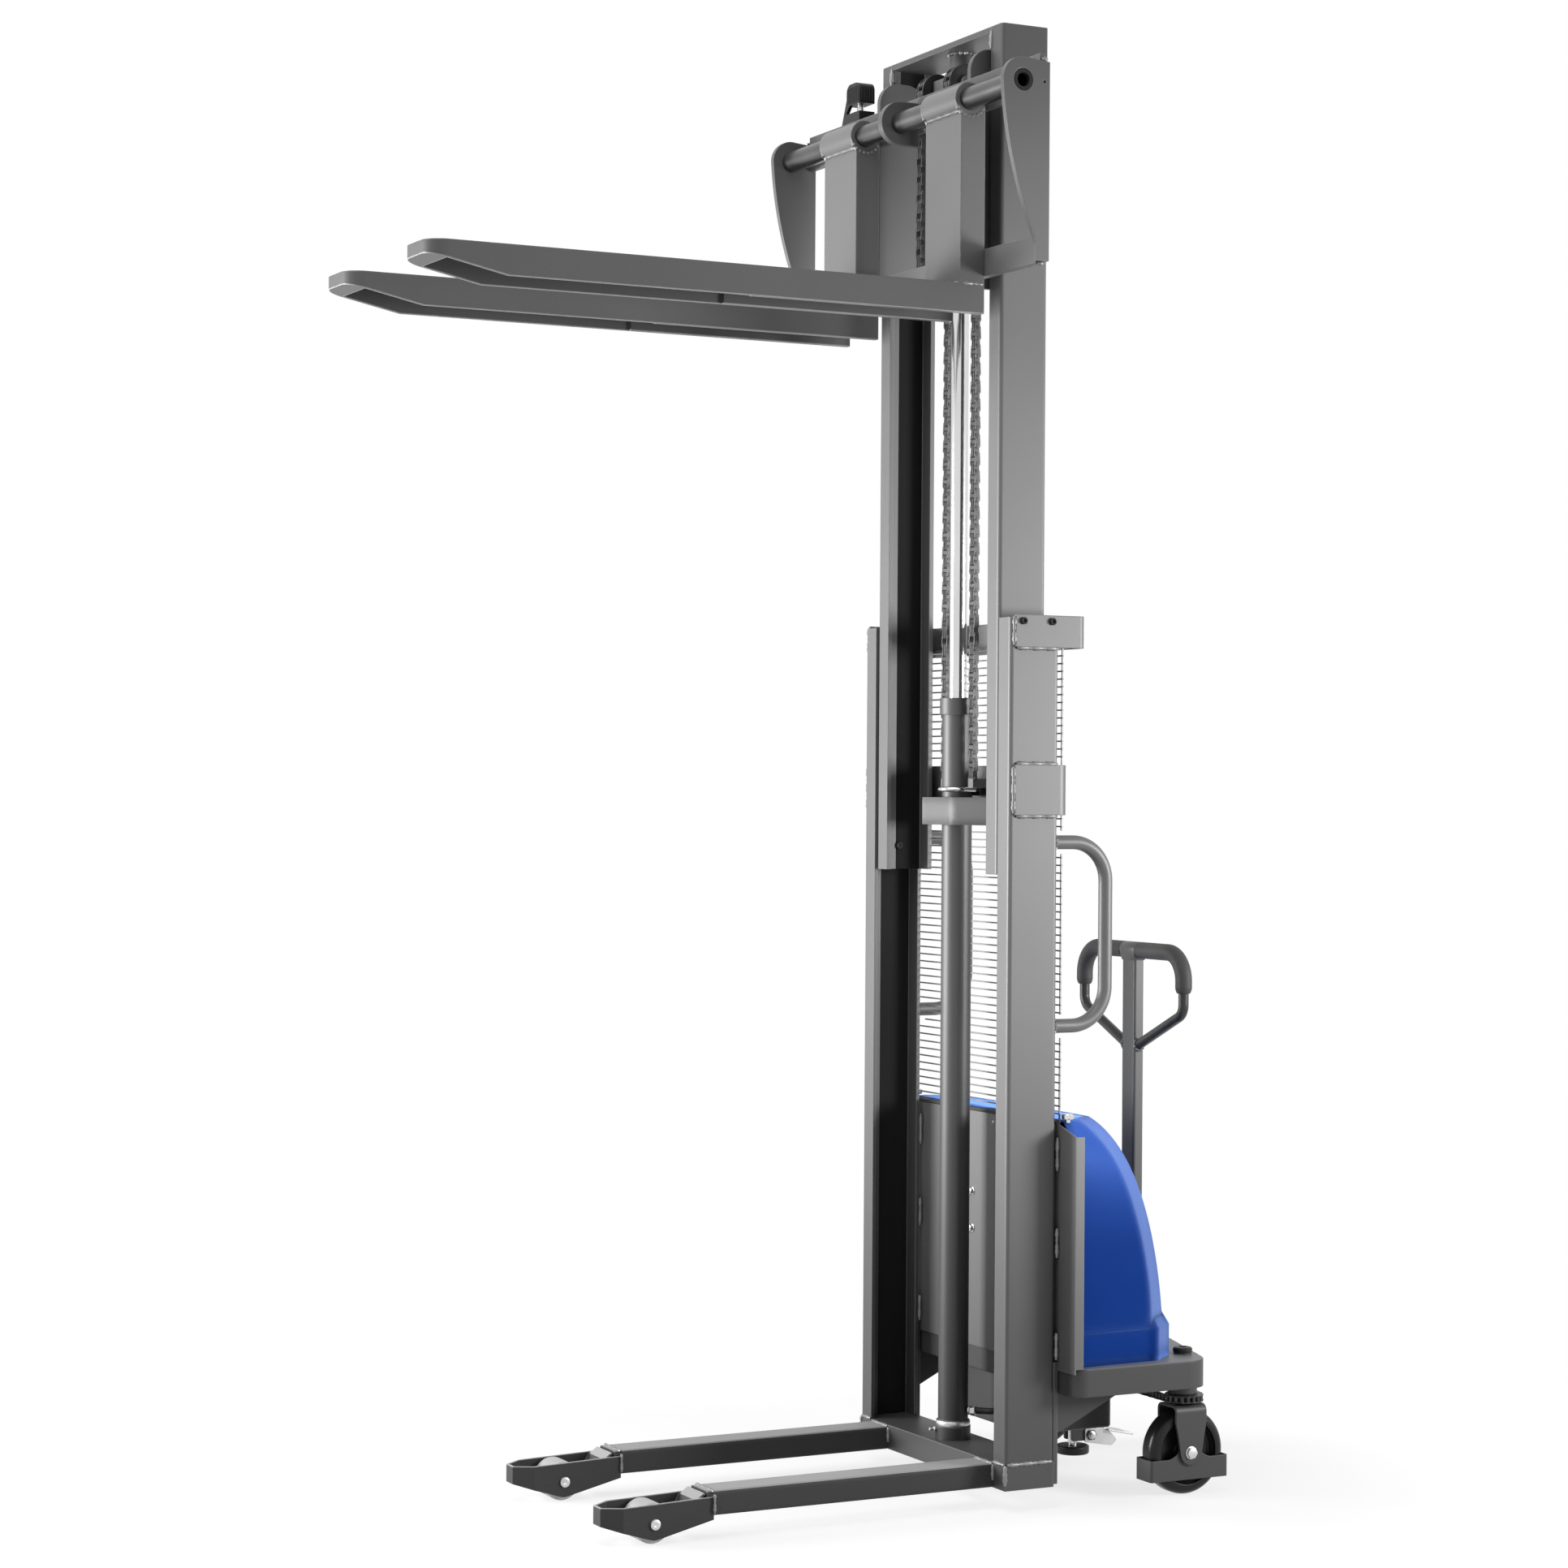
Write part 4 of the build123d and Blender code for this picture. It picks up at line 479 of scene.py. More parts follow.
# Which finish each CAD node takes, by the start of its name; the rest are painted
nodeFinishes = {
    "hood": "hoodBlue", "piston_rod": "brightChrome", "carriage_shaft": "shaftSteel",
    "load_roller": "paleRoller", "leg_tip": "tipPaint", "leg_": "shadedLegPaint", "fork_": "forkPaint",
    "front_panel": "litPanelPaint", "inner_lower_strap": "bowedPaint", "cylinder_barrel": "barrelPaint",
    "inner_channel": "innerTrack", "mast_column": "outerTrack", "platform": "platformPaint",
    "toe_guard": "shadePaint",
    "caster_fork": "shadePaint", "power_pack": "shadePaint", "mast_roller": "turnedSteel",
    "carriage_roller": "turnedSteel", "chain": "oiledChain", "steering_chain": "oiledChain",
    "caster_wheel": "blackTyre", "tiller_grip": "gripRubber", "tiller": "tillerPaint", "lock_pad": "padStem",
    "lock_pedal": "zincPlate", "lift_lever": "blackMoulding", "stop_button": "stopRed",
    "mesh_guard": "guardWire", "catch_bracket": "catchPin", "lift_hose": "blackMoulding",
}


def finishFor(node):
    for start, finish in nodeFinishes.items():
        if node.startswith(start):
            return finish
    return "graphitePaint"


for name, node in nodes.items():
    node.data.materials.clear()
    node.data.materials.append(coats[finishFor(name)])
print("finishes:", len(coats))

# Tools for the added pieces
mergeDistance = 0.00002
upAxis = (0, 0, 1)


def at(place, axis):
    # a place, turned so that its own upright runs along the axis
    return Matrix.Translation(place) @ Vector(upAxis).rotation_difference(Vector(axis)).to_matrix().to_4x4()


def mirrored(place, side):
    return Vector(place) * Vector((side, 1, 1))


def middleOf(node):
    low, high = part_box(node)
    return (low + high) / 2


def finishPiece(name, shape, finish, smoothAngle=35):
    bmesh.ops.remove_doubles(shape, verts=shape.verts, dist=mergeDistance)
    bmesh.ops.recalc_face_normals(shape, faces=shape.faces)
    mesh = bpy.data.meshes.new(name)
    shape.to_mesh(mesh)
    shape.free()
    mesh.materials.append(coats[finish])
    mesh.shade_smooth()
    mesh.set_sharp_from_angle(angle=radians(smoothAngle))
    piece = bpy.data.objects.new(name, mesh)
    scene.collection.objects.link(piece)
    return piece


def drawnVerts(shape, geom, vec):
    # moves the new vertices of an extrusion, and gives them back
    moved = [item for item in geom if isinstance(item, bmesh.types.BMVert)]
    bmesh.ops.translate(shape, verts=moved, vec=vec)
    return moved


def drawFace(shape, ring, vec):
    face = next(iter(ring[0].link_faces))
    return drawnVerts(shape, bmesh.ops.extrude_face_region(shape, geom=[face])["geom"], vec)


def drawEdges(shape, edges, vec):
    return drawnVerts(shape, bmesh.ops.extrude_edge_only(shape, edges=edges)["geom"], vec)


def softenEdges(shape, edges, offset):
    bmesh.ops.bevel(shape, geom=edges, offset=offset, affect="EDGES", segments=2, profile=0.5, material=-1)


def addTurned(shape, place, axis, profile, segments):
    # spins a profile of (radius, height) points about an axis
    turn = at(place, axis)
    points = [shape.verts.new(turn @ Vector((radius, 0, height))) for radius, height in profile]
    edges = [shape.edges.new(pair) for pair in zip(points, points[1:])]
    bmesh.ops.spin(shape, geom=points + edges, cent=turn.translation, axis=turn.to_3x3() @ Vector(upAxis),
                   angle=2 * pi, steps=segments, use_merge=True)


# Shares of the washer's height for its rim and slope, and of the head's height for its chamfer
hexFacts = {"rim": 0.7, "slope": 0.4, "chamfer": 0.14, "flats": 6, "segments": 24}


def addHexHead(shape, place, axis, facts):
    # washer, then a six-sided head with a chamfered crown
    washer, rise, height, head = facts["washer"], facts["washerHeight"], facts["height"], facts["head"]
    rim, slope = rise * hexFacts["rim"], rise * hexFacts["slope"]
    addTurned(shape, place, axis, ((0, 0), (washer, 0), (washer, rim), (washer - slope, rise), (0, rise)),
              hexFacts["segments"])
    middle = at(place, axis) @ Matrix.Translation((0, 0, rise + height / 2))
    verts = bmesh.ops.create_cone(shape, cap_ends=True, segments=hexFacts["flats"], radius1=head,
                                  radius2=head, depth=height, matrix=middle)["verts"]
    crown = [edge for edge in {edge for vert in verts for edge in vert.link_edges}
             if len(edge.link_faces) == 2
             and any(len(face.verts) == hexFacts["flats"] for face in edge.link_faces)]
    softenEdges(shape, crown, height * hexFacts["chamfer"])


# Outline of a cap screw's rim and blind socket, in shares of (radius, height)
capFacts = {"radius": ((0.98, 0), (1, 0.12), (1, 0.8), (0.86, 1)),
            "socket": ((1, 1), (0.92, 0.35), (0, 0.35)), "segments": 20}


def addSocketHead(shape, place, axis, facts):
    profile = [(facts[part] * wide, facts["height"] * rise)
               for part in ("radius", "socket") for wide, rise in capFacts[part]]
    addTurned(shape, place, axis, profile, capFacts["segments"])


# How a weld bead swells: a base share of its radius, every second ripple, a slow drift, and the tapered end
beadFacts = {"sides": 7, "start": 0.55, "ripple": 1.1, "base": 0.72, "second": 0.28, "drift": 0.16,
             "pace": 7.3, "end": 0.6, "fewest": 3}


def addBead(shape, start, end, radius):
    # a rippled weld bead from start to end
    start, end = Vector(start), Vector(end)
    way = end - start
    steps = max(beadFacts["fewest"], int(way.length / (radius * beadFacts["ripple"])))
    disc = bmesh.ops.create_circle(shape, cap_ends=True, segments=beadFacts["sides"],
                                   radius=radius * beadFacts["start"], matrix=at(start, way.normalized()))
    face = next(iter(disc["verts"][0].link_faces))
    for step in range(steps):
        face = bmesh.ops.extrude_discrete_faces(shape, faces=[face])["faces"][0]
        place = start + way * ((step + 1) / steps)
        share = beadFacts["base"] + beadFacts["second"] * (step % 2)
        share += beadFacts["drift"] * sin(beadFacts["pace"] * step)
        swell = radius * share * (beadFacts["end"] if step == steps - 1 else 1)
        centre = face.calc_center_median()
        for vert in face.verts:
            vert.co = place + (vert.co - centre).normalized() * swell


def addPlate(shape, place, along, normal, pitch, half, thick):
    # a chain plate: two round ends on one pitch
    along, normal = Vector(along), Vector(normal)
    turn = Matrix((along, normal.cross(along), normal)).transposed().to_4x4()
    turn.translation = Vector(place)
    ring = bmesh.ops.create_circle(shape, cap_ends=True, segments=10, radius=half)["verts"]
    for vert in ring:
        vert.co.x += pitch / 2 if vert.co.x > 0 else -pitch / 2
        vert.co.z -= thick / 2
    moved = drawFace(shape, ring, (0, 0, thick))
    bmesh.ops.transform(shape, verts=list(ring) + moved, matrix=turn)


def addPin(shape, place, axis, radius, length):
    bmesh.ops.create_cone(shape, cap_ends=True, segments=8, radius1=radius, radius2=radius, depth=length,
                          matrix=at(place, axis))


# Lift chains: leaf plates on cross pins, in place of the plain runs
liftChain = {"pitch": 0.01905, "plate": 0.0030, "pin": 0.0036, "outer": (-0.0104, 0.0104),
             "inner": (-0.0066, 0.0, 0.0066), "pinEnds": 1.6}


def addLeafLinks(shape, places, facts, half):
    # one place for each pin, with inner and outer plates by turns between them
    acrossAxis = (1, 0, 0)
    pinLength = facts["outer"][1] * 2 + facts["plate"] * facts["pinEnds"]
    for index, place in enumerate(places):
        addPin(shape, place, acrossAxis, facts["pin"], pinLength)
        if index + 1 < len(places):
            after = places[index + 1]
            run = after - place
            for offset in facts["outer"] if index % 2 else facts["inner"]:
                addPlate(shape, (place + after) / 2 + Vector((offset, 0, 0)), run.normalized(), acrossAxis,
                         run.length, half, facts["plate"])


def chainSide(high, facts):
    return high.x - facts["outer"][1] - facts["plate"] / 2


def chainRun(node, facts):
    low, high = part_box(node)
    half = (high.y - low.y) / 2
    chainX = chainSide(high, facts)
    count = round((high.z - low.z) / facts["pitch"])
    shape = bmesh.new()
    for side in (-1, 1):
        places = [Vector((side * chainX, (low.y + high.y) / 2, low.z + (high.z - low.z) * step / count))
                  for step in range(count + 1)]
        addLeafLinks(shape, places, facts, half)
    piece = finishPiece(node + "_links", shape, "liftLinks")
    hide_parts(node)
    return piece, low, high


frontLinks, low, high = chainRun("chain_front", liftChain)
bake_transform(frontLinks)
rearLinks, low, high = chainRun("chain_rear", liftChain)
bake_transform(rearLinks)


def chainOverPulley(facts):
    low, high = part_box("chain_wrap")
    runLow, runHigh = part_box("chain_front")
    half = (runHigh.y - runLow.y) / 2
    radius = high.z - low.z - half
    centre = Vector((0, (low.y + high.y) / 2, low.z))
    chainX = chainSide(high, facts)
    count = round(pi * radius / facts["pitch"])
    angles = [pi * step / count for step in range(count + 1)]
    shape = bmesh.new()
    for side in (-1, 1):
        places = [centre + Vector((side * chainX, radius * cos(angle), radius * sin(angle)))
                  for angle in angles]
        addLeafLinks(shape, places, facts, half)
    piece = finishPiece("chain_wrap_links", shape, "liftLinks")
    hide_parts("chain_wrap")
    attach(piece, "inner_mast")


chainOverPulley(liftChain)
print("lift chains linked")

# Steering chain: rollers between paired plates, round the casters' and tiller's sprockets
steerChain = {"pitch": 0.0127, "plate": 0.0017, "half": 0.0056, "roller": 0.0042, "gap": 0.0094,
              "outerRise": 0.9, "innerRise": 0.5}


def loopStations(centres, radius, pitch):
    # points at equal steps along the band pulled tight round equal wheels, anticlockwise
    runs = []
    for index, centre in enumerate(centres):
        following = centres[(index + 1) % len(centres)]
        before = (centre - centres[index - 1]).normalized()
        after = (following - centre).normalized()
        arrive, leave = Vector((before.y, -before.x)), Vector((after.y, -after.x))
        runs.append(("arc", centre, arrive, radius * abs(arrive.angle_signed(leave))))
        runs.append(("line", centre + leave * radius, after, (following - centre).length))
    whole = sum(run[3] for run in runs)
    count = 2 * round(whole / pitch / 2)
    stations = []
    for step in range(count):
        reach = whole * step / count
        for kind, origin, direction, length in runs:
            if reach <= length:
                break
            reach -= length
        if kind == "arc":
            swing = Matrix.Rotation(reach / radius, 2)
            stations.append(origin + swing @ direction * radius)
        else:
            stations.append(origin + direction * reach)
    return stations


def steeringLinks(facts):
    low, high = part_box("steering_chain")
    middleZ = (low.z + high.z) / 2
    left = middleOf("caster_wheel_left").xy
    right = Vector((middleOf("caster_wheel_right").x, left.y))
    rear = Vector((0, middleOf("tiller_grip").y))
    stations = loopStations([left, right, rear], high.y - rear.y - facts["half"], facts["pitch"])
    shape = bmesh.new()
    for index, place in enumerate(stations):
        after = stations[(index + 1) % len(stations)]
        here = Vector((place.x, place.y, middleZ))
        there = Vector((after.x, after.y, middleZ))
        addPin(shape, here, upAxis, facts["roller"], facts["gap"])
        rise = facts["gap"] / 2 + facts["plate"] * (facts["innerRise"] if index % 2 else facts["outerRise"])
        run = there - here
        for face in (-1, 1):
            addPlate(shape, (here + there) / 2 + Vector((0, 0, face * rise)), run.normalized(), upAxis,
                     run.length, facts["half"], facts["plate"])
    piece = finishPiece("steering_links", shape, "oiledChain")
    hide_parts("steering_chain")
    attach(piece, "chassis")


steeringLinks(steerChain)
print("steering chain linked")

# Clamp that ties the barrel to the middle cross-member: black saddle, chrome U-bolt
clampFacts = {"rod": 0.005, "rodSides": 14, "bendSteps": 24, "saddleHeight": 0.026, "saddleRods": 3,
              "saddleBack": 0.72, "bevel": 0.003, "facing": -0.5}


def barrelClamp(facts):
    low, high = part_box("barrel_clamp")
    centre = Vector((0, middleOf("cylinder_barrel").y, (low.z + high.z) / 2))
    bend = centre.y - low.y - facts["rod"]
    legs = (0, high.y - centre.y, 0)
    shape = bmesh.new()
    ring = bmesh.ops.create_circle(shape, cap_ends=False, segments=facts["rodSides"], radius=facts["rod"],
                                   matrix=at(centre + Vector((-bend, 0, 0)), (0, 1, 0)))["verts"]
    legEdges = list({edge for vert in ring for edge in vert.link_edges})
    drawEdges(shape, legEdges, legs)
    spun = bmesh.ops.spin(shape, geom=list(ring) + legEdges, cent=centre, axis=upAxis, angle=pi,
                          steps=facts["bendSteps"])
    drawEdges(shape, [item for item in spun["geom_last"] if isinstance(item, bmesh.types.BMEdge)], legs)
    bolt = finishPiece("clamp_bolt", shape, "brightChrome")
    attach(bolt, "chassis")
    shape = bmesh.new()
    depth = high.y - centre.y - bend * facts["saddleBack"]
    wide = 2 * (bend + facts["saddleRods"] * facts["rod"])
    block = bmesh.ops.create_cube(shape, size=1)["verts"]
    bmesh.ops.scale(shape, verts=block, vec=(wide, depth, facts["saddleHeight"]))
    bmesh.ops.translate(shape, verts=block, vec=(0, high.y - depth / 2, centre.z))
    front = [face for face in shape.faces if face.normal.y < facts["facing"]]
    bmesh.ops.inset_region(shape, faces=front, thickness=facts["bevel"] * 2, depth=-facts["bevel"])
    softenEdges(shape, list(shape.edges), facts["bevel"])
    saddle = finishPiece("clamp_saddle", shape, "blackMoulding")
    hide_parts("barrel_clamp")
    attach(saddle, "chassis")


barrelClamp(clampFacts)

# Fasteners, in metres, mirrored where both sides carry one
# "seat" is how far a head sinks into what carries it
columnLow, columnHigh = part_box("mast_column_left")
outerX = max(abs(columnLow.x), abs(columnHigh.x))
mastFront = columnLow.y
screwFacts = {"radius": 0.0075, "height": 0.0068, "socket": 0.0042, "back": (0.027, 0.096), "drop": 0.013,
              "seat": 0.0004}


def bandScrews(facts):
    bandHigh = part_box("top_crossmember")[1]
    outward, height = bandHigh.x - facts["seat"], bandHigh.z - facts["drop"]
    shape = bmesh.new()
    for side in (-1, 1):
        for back in facts["back"]:
            addSocketHead(shape, (side * outward, mastFront + back, height), (side, 0, 0), facts)
    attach(finishPiece("band_screws", shape, "blackMoulding"), "chassis")


pinCap = {"seat": 0.0004, "segments": 28,
          "profile": ((0.0105, 0), (0.0105, 0.0009), (0.0092, 0.0018), (0.0040, 0.0018), (0.0030, 0.0008),
                      (0, 0.0008))}


def rollerPinCaps(facts):
    # turned ends of the load rollers' pins, on both cheeks of each leg tip
    shape = bmesh.new()
    for name in ("left", "right"):
        middle = middleOf("load_roller_" + name)
        tipLow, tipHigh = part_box("leg_tip_" + name)
        for face, edge in ((-1, tipLow.x), (1, tipHigh.x)):
            place = Vector((edge - face * facts["seat"], middle.y, middle.z))
            addTurned(shape, place, (face, 0, 0), facts["profile"], facts["segments"])
    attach(finishPiece("roller_pin_caps", shape, "zincPlate"), "chassis")


axleFacts = {"head": 0.0124, "height": 0.0058, "washer": 0.0138, "washerHeight": 0.0016, "seat": 0.0002}
kingpinCap = {"seat": 0.0006, "segments": 12,
              "profile": ((0.0190, -0.008), (0.0205, -0.006), (0.0205, 0.0006), (0.0180, 0.0030),
                          (0.0095, 0.0034), (0.0085, 0.0012), (0, 0.0012))}


def casterFasteners(axle, cap):
    for name in ("left", "right"):
        middle = middleOf("caster_wheel_" + name)
        forkLow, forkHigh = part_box("caster_fork_" + name)
        shape = bmesh.new()
        for face, edge in ((-1, forkLow.x), (1, forkHigh.x)):
            place = Vector((edge - face * (axle["height"] + axle["seat"]), middle.y, middle.z))
            addHexHead(shape, place, (face, 0, 0), axle)
        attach(finishPiece("axle_nuts_" + name, shape, "zincPlate"), "caster_" + name)
        shape = bmesh.new()
        crown = Vector((middle.x, middle.y, forkHigh.z - cap["seat"]))
        addTurned(shape, crown, upAxis, cap["profile"], cap["segments"])
        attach(finishPiece("kingpin_cap_" + name, shape, "blackMoulding"), "caster_" + name)


panelBolts = {"head": 0.0085, "height": 0.0060, "washer": 0.0105, "washerHeight": 0.0016,
              "places": ((-0.048, 0.4846, 0.614), (-0.048, 0.4846, 0.534))}
rivetFacts = {"place": (0.0389, 0.4846, 0.7692), "segments": 12,
              "profile": ((0.0042, 0), (0.00378, 0.0012), (0.0021, 0.0022), (0, 0.0025))}
thumbFacts = {"place": (0.318, 0.4985, 0.7930), "segments": 16,
              "profile": ((0.0050, 0), (0.0050, 0.007), (0.0117, 0.007), (0.0130, 0.009), (0.0130, 0.0158),
                          (0.01118, 0.0178), (0, 0.0178))}
edgingFacts = {"radius": 0.0045, "half": 0.300, "y": 0.486, "rise": 0.001, "segments": 14}


def panelFasteners(bolts, rivet, thumb, edging):
    forward = (0, -1, 0)
    shape = bmesh.new()
    for place in bolts["places"]:
        addHexHead(shape, place, forward, bolts)
    addTurned(shape, rivet["place"], forward, rivet["profile"], rivet["segments"])
    for side in (-1, 1):
        # a thumbscrew on the shoulder of the panel
        addTurned(shape, mirrored(thumb["place"], side), upAxis, thumb["profile"], thumb["segments"])
    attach(finishPiece("panel_bolts", shape, "brightChrome"), "chassis")
    # black edging along the top of the panel
    shape = bmesh.new()
    end = (-edging["half"], edging["y"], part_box("front_panel")[1].z + edging["rise"])
    strip = bmesh.ops.create_circle(shape, cap_ends=True, segments=edging["segments"],
                                    radius=edging["radius"], matrix=at(end, (1, 0, 0)))["verts"]
    drawFace(shape, strip, (2 * edging["half"], 0, 0))
    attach(finishPiece("panel_edging", shape, "gripRubber"), "chassis")


collarFacts = {"height": 0.125, "segments": 40,
               "profile": ((0.0315, 0), (0.0357, 0), (0.0365, 0.0014), (0.0365, 0.0096), (0.0357, 0.0110),
                           (0.0315, 0.0110))}
nippleFacts = {"offset": (-0.012, -0.0335, -0.008), "segments": 12,
               "profile": ((0.0050, 0), (0.0050, 0.006), (0.0028, 0.008), (0.0028, 0.013), (0.0036, 0.014),
                           (0.0030, 0.017), (0, 0.017))}


def barrelFoot(collar, nipple):
    # bright collar and bleed nipple at the foot of the lift cylinder
    middle = Vector((0, middleOf("piston_rod").y, collar["height"]))
    shape = bmesh.new()
    addTurned(shape, middle, upAxis, collar["profile"], collar["segments"])
    addTurned(shape, middle + Vector(nipple["offset"]), (0, -1, 0), nipple["profile"], nipple["segments"])
    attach(finishPiece("barrel_collar", shape, "zincPlate"), "chassis")


pedalFacts = {"head": 0.0078, "height": 0.0046, "washer": 0.0092, "washerHeight": 0.0012,
              "place": (0.0258, 0.7465, 0.080)}
unionFacts = {"head": 0.0110, "height": 0.0120, "washer": 0.0098, "washerHeight": 0.0040,
              "place": (0.0262, 0.4375, 0.158), "axis": (1.0, 0.75, 0.0)}


def lockPin(pedal, union):
    # bright bolt heads of the floor lock's pin, and the hose union on the barrel
    shape = bmesh.new()
    for side in (-1, 1):
        addHexHead(shape, mirrored(pedal["place"], side), (side, 0, 0), pedal)
    addHexHead(shape, union["place"], union["axis"], union)
    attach(finishPiece("lock_pin_heads", shape, "zincPlate"), "chassis")


trackScrew = {"place": (0.2477, 0.4095, 1.3533), "radius": 0.0085, "height": 0.0035, "socket": 0.0045}


def trackScrews(facts):
    shape = bmesh.new()
    for side in (-1, 1):
        addSocketHead(shape, mirrored(facts["place"], side), (-side, 0, 0), facts)
    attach(finishPiece("track_screws", shape, "blackMoulding"), "inner_mast")


# rows of (first, last, count) for the ribs
catchRibs = {"radius": 0.0017, "low": 2.987, "high": 3.021, "front": (-0.338, -0.290, 8),
             "side": (0.3245, 0.3505, 5), "seat": 0.0003}


def spread(first, last, count):
    return [first + (last - first) * index / (count - 1) for index in range(count)]


def catchGrip(facts):
    # upright ribs round the cap of the catch
    low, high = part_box("catch_bracket")
    middle = (facts["low"] + facts["high"]) / 2
    places = [(along, low.y + facts["seat"], middle) for along in spread(*facts["front"])]
    places += [(high.x - facts["seat"], along, middle) for along in spread(*facts["side"])]
    shape = bmesh.new()
    for place in places:
        addPin(shape, place, upAxis, facts["radius"], facts["high"] - facts["low"])
    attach(finishPiece("catch_ribs", shape, "blackMoulding"), "carriage")


# Saddle over the top of the tiller's post, and tapered collars at the grips' ends
saddleFacts = {"half": 0.0296, "foot": 0.0256, "radius": 0.0180, "skirt": 0.0225, "lip": 0.0136,
               "bevel": 0.0008, "slack": 0.0005, "sharpFrom": 0.6, "segments": 28}
gripCollar = {"segments": 24, "profile": (
    (0.0179, -0.0004), (0.0173, 0.0040), (0.0148, 0.0100), (0.0134, 0.0112), (0.0111, 0.0112))}


def tillerSaddle(facts, collar):
    low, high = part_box("tiller_grip")
    radius = facts["radius"]
    bar = Vector((0, (low.y + high.y) / 2, high.z - radius))
    shape = bmesh.new()
    ring = bmesh.ops.create_circle(shape, cap_ends=True, segments=facts["segments"], radius=radius,
                                   matrix=at(bar - Vector((facts["half"], 0, 0)), (1, 0, 0)))["verts"]
    for vert in ring:
        if vert.co.z < bar.z - facts["slack"]:
            vert.co.y = bar.y + (vert.co.y - bar.y) * facts["lip"] / radius
            vert.co.z = bar.z - facts["skirt"]
    drawFace(shape, ring, (2 * facts["half"], 0, 0))
    foot = [vert for vert in shape.verts if vert.co.z < bar.z - facts["skirt"] / 2]
    bmesh.ops.scale(shape, verts=foot, vec=(facts["foot"] / facts["half"], 1, 1))
    sharp = [edge for edge in shape.edges
             if len(edge.link_faces) == 2 and edge.calc_face_angle() > facts["sharpFrom"]]
    softenEdges(shape, sharp, facts["bevel"])
    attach(finishPiece("tiller_saddle", shape, "saddlePaint"), "tiller")
    shape = bmesh.new()
    for side in (-1, 1):
        place = (side * (high.x - radius), bar.y, low.z)
        addTurned(shape, place, (0, 0, -1), collar["profile"], collar["segments"])
    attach(finishPiece("grip_collars", shape, "gripRubber"), "tiller")


tillerSaddle(saddleFacts, gripCollar)
lockPin(pedalFacts, unionFacts)
trackScrews(trackScrew)
catchGrip(catchRibs)
bandScrews(screwFacts)
rollerPinCaps(pinCap)
casterFasteners(axleFacts, kingpinCap)
panelFasteners(panelBolts, rivetFacts, thumbFacts, edgingFacts)
barrelFoot(collarFacts, nippleFacts)
print("fasteners placed")

# Weld beads, as rows of (start, end) for each body, mirrored in X where both sides carry them
beadRadius = 0.0050
bandFace = outerX + 0.0020
bandFront, bandBack = mastFront + 0.014, mastFront + 0.113
bandEdge = mastFront + 0.0085
chassisBeads = [
    ((outerX, mastFront + 0.004, 0.098), (outerX, mastFront + 0.112, 0.098)),
    ((outerX - 0.046, mastFront, 0.098), (outerX - 0.004, mastFront, 0.098)),
    ((outerX - 0.001, mastFront + 0.0005, 0.056), (outerX - 0.001, mastFront + 0.0005, 0.097)),
    ((0.188, mastFront, 0.093), (0.258, mastFront, 0.093)),
    ((0.1855, mastFront, 0.060), (0.1855, mastFront, 0.092)),
    ((0.2605, mastFront, 0.060), (0.2605, mastFront, 0.092)),
    ((bandFace, bandFront, 1.5300), (bandFace, bandBack, 1.5300)),
    ((bandFace, bandFront, 1.4230), (bandFace, bandBack, 1.4230)),
    ((bandFace, bandEdge, 1.428), (bandFace, bandEdge, 1.525)),
    ((bandFace, bandFront, 1.7672), (bandFace, bandBack, 1.7672)),
    ((bandFace, bandEdge, 1.772), (bandFace, bandEdge, 1.831)),
]
stitchFacts = {"y": 0.4795, "edges": (outerX - 0.0015, outerX - 0.0445),
               "heights": ((0.694, 0.762), (0.515, 0.575), (0.305, 0.360))}
handleFacts = {"place": (0.288, 0.4765), "heights": (0.990, 1.369), "radius": 0.0150, "count": 10}


def ringRows(centre, first, second, radius, angles, count):
    # short beads end to end round part of a circle
    points = []
    for step in range(count + 1):
        angle = radians(angles[0] + (angles[1] - angles[0]) * step / count)
        points.append(Vector(centre) + radius * (cos(angle) * Vector(first) + sin(angle) * Vector(second)))
    return list(zip(points, points[1:]))


for foot, top in stitchFacts["heights"]:
    for edge in stitchFacts["edges"]:
        chassisBeads.append(((edge, stitchFacts["y"], foot), (edge, stitchFacts["y"], top)))
for height in handleFacts["heights"]:
    chassisBeads += ringRows((*handleFacts["place"], height), (1, 0, 0), upAxis, handleFacts["radius"],
                             (0, 360), handleFacts["count"])


def weldPiece(name, rows, body, radius, bothSides=True):
    shape = bmesh.new()
    for start, end in rows:
        addBead(shape, start, end, radius)
        if bothSides:
            addBead(shape, mirrored(start, -1), mirrored(end, -1), radius)
    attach(finishPiece(name, shape, "weldPaint", 60), body)


# "sunk" keeps the beads clear of the carriage's side plates
forkSeams = {"face": 0.2415, "foot": 2.505, "head": 2.8545, "cheek": (0.004, 0.056), "inset": 0.004,
             "sunk": 0.003, "shaft": (0.2640, 2.8800), "radius": 0.0350, "angles": (-155, -25), "count": 8}


def forkBeads(name, facts):
    # the heel weld and the shaft's weld on both cheeks, and two seams across the face
    low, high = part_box("fork_" + name)
    face, (near, far) = facts["face"], facts["cheek"]
    rows = []
    for edge in (low.x + facts["sunk"], high.x - facts["sunk"]):
        rows.append(((edge, face + near, facts["foot"]), (edge, face + far, facts["foot"])))
        rows += ringRows((edge, *facts["shaft"]), (0, 1, 0), upAxis, facts["radius"], facts["angles"],
                         facts["count"])
    for height in (facts["foot"], facts["head"]):
        rows.append(((low.x + facts["inset"], face, height), (high.x - facts["inset"], face, height)))
    weldPiece("fork_welds_" + name, rows, "fork_" + name, beadRadius, bothSides=False)


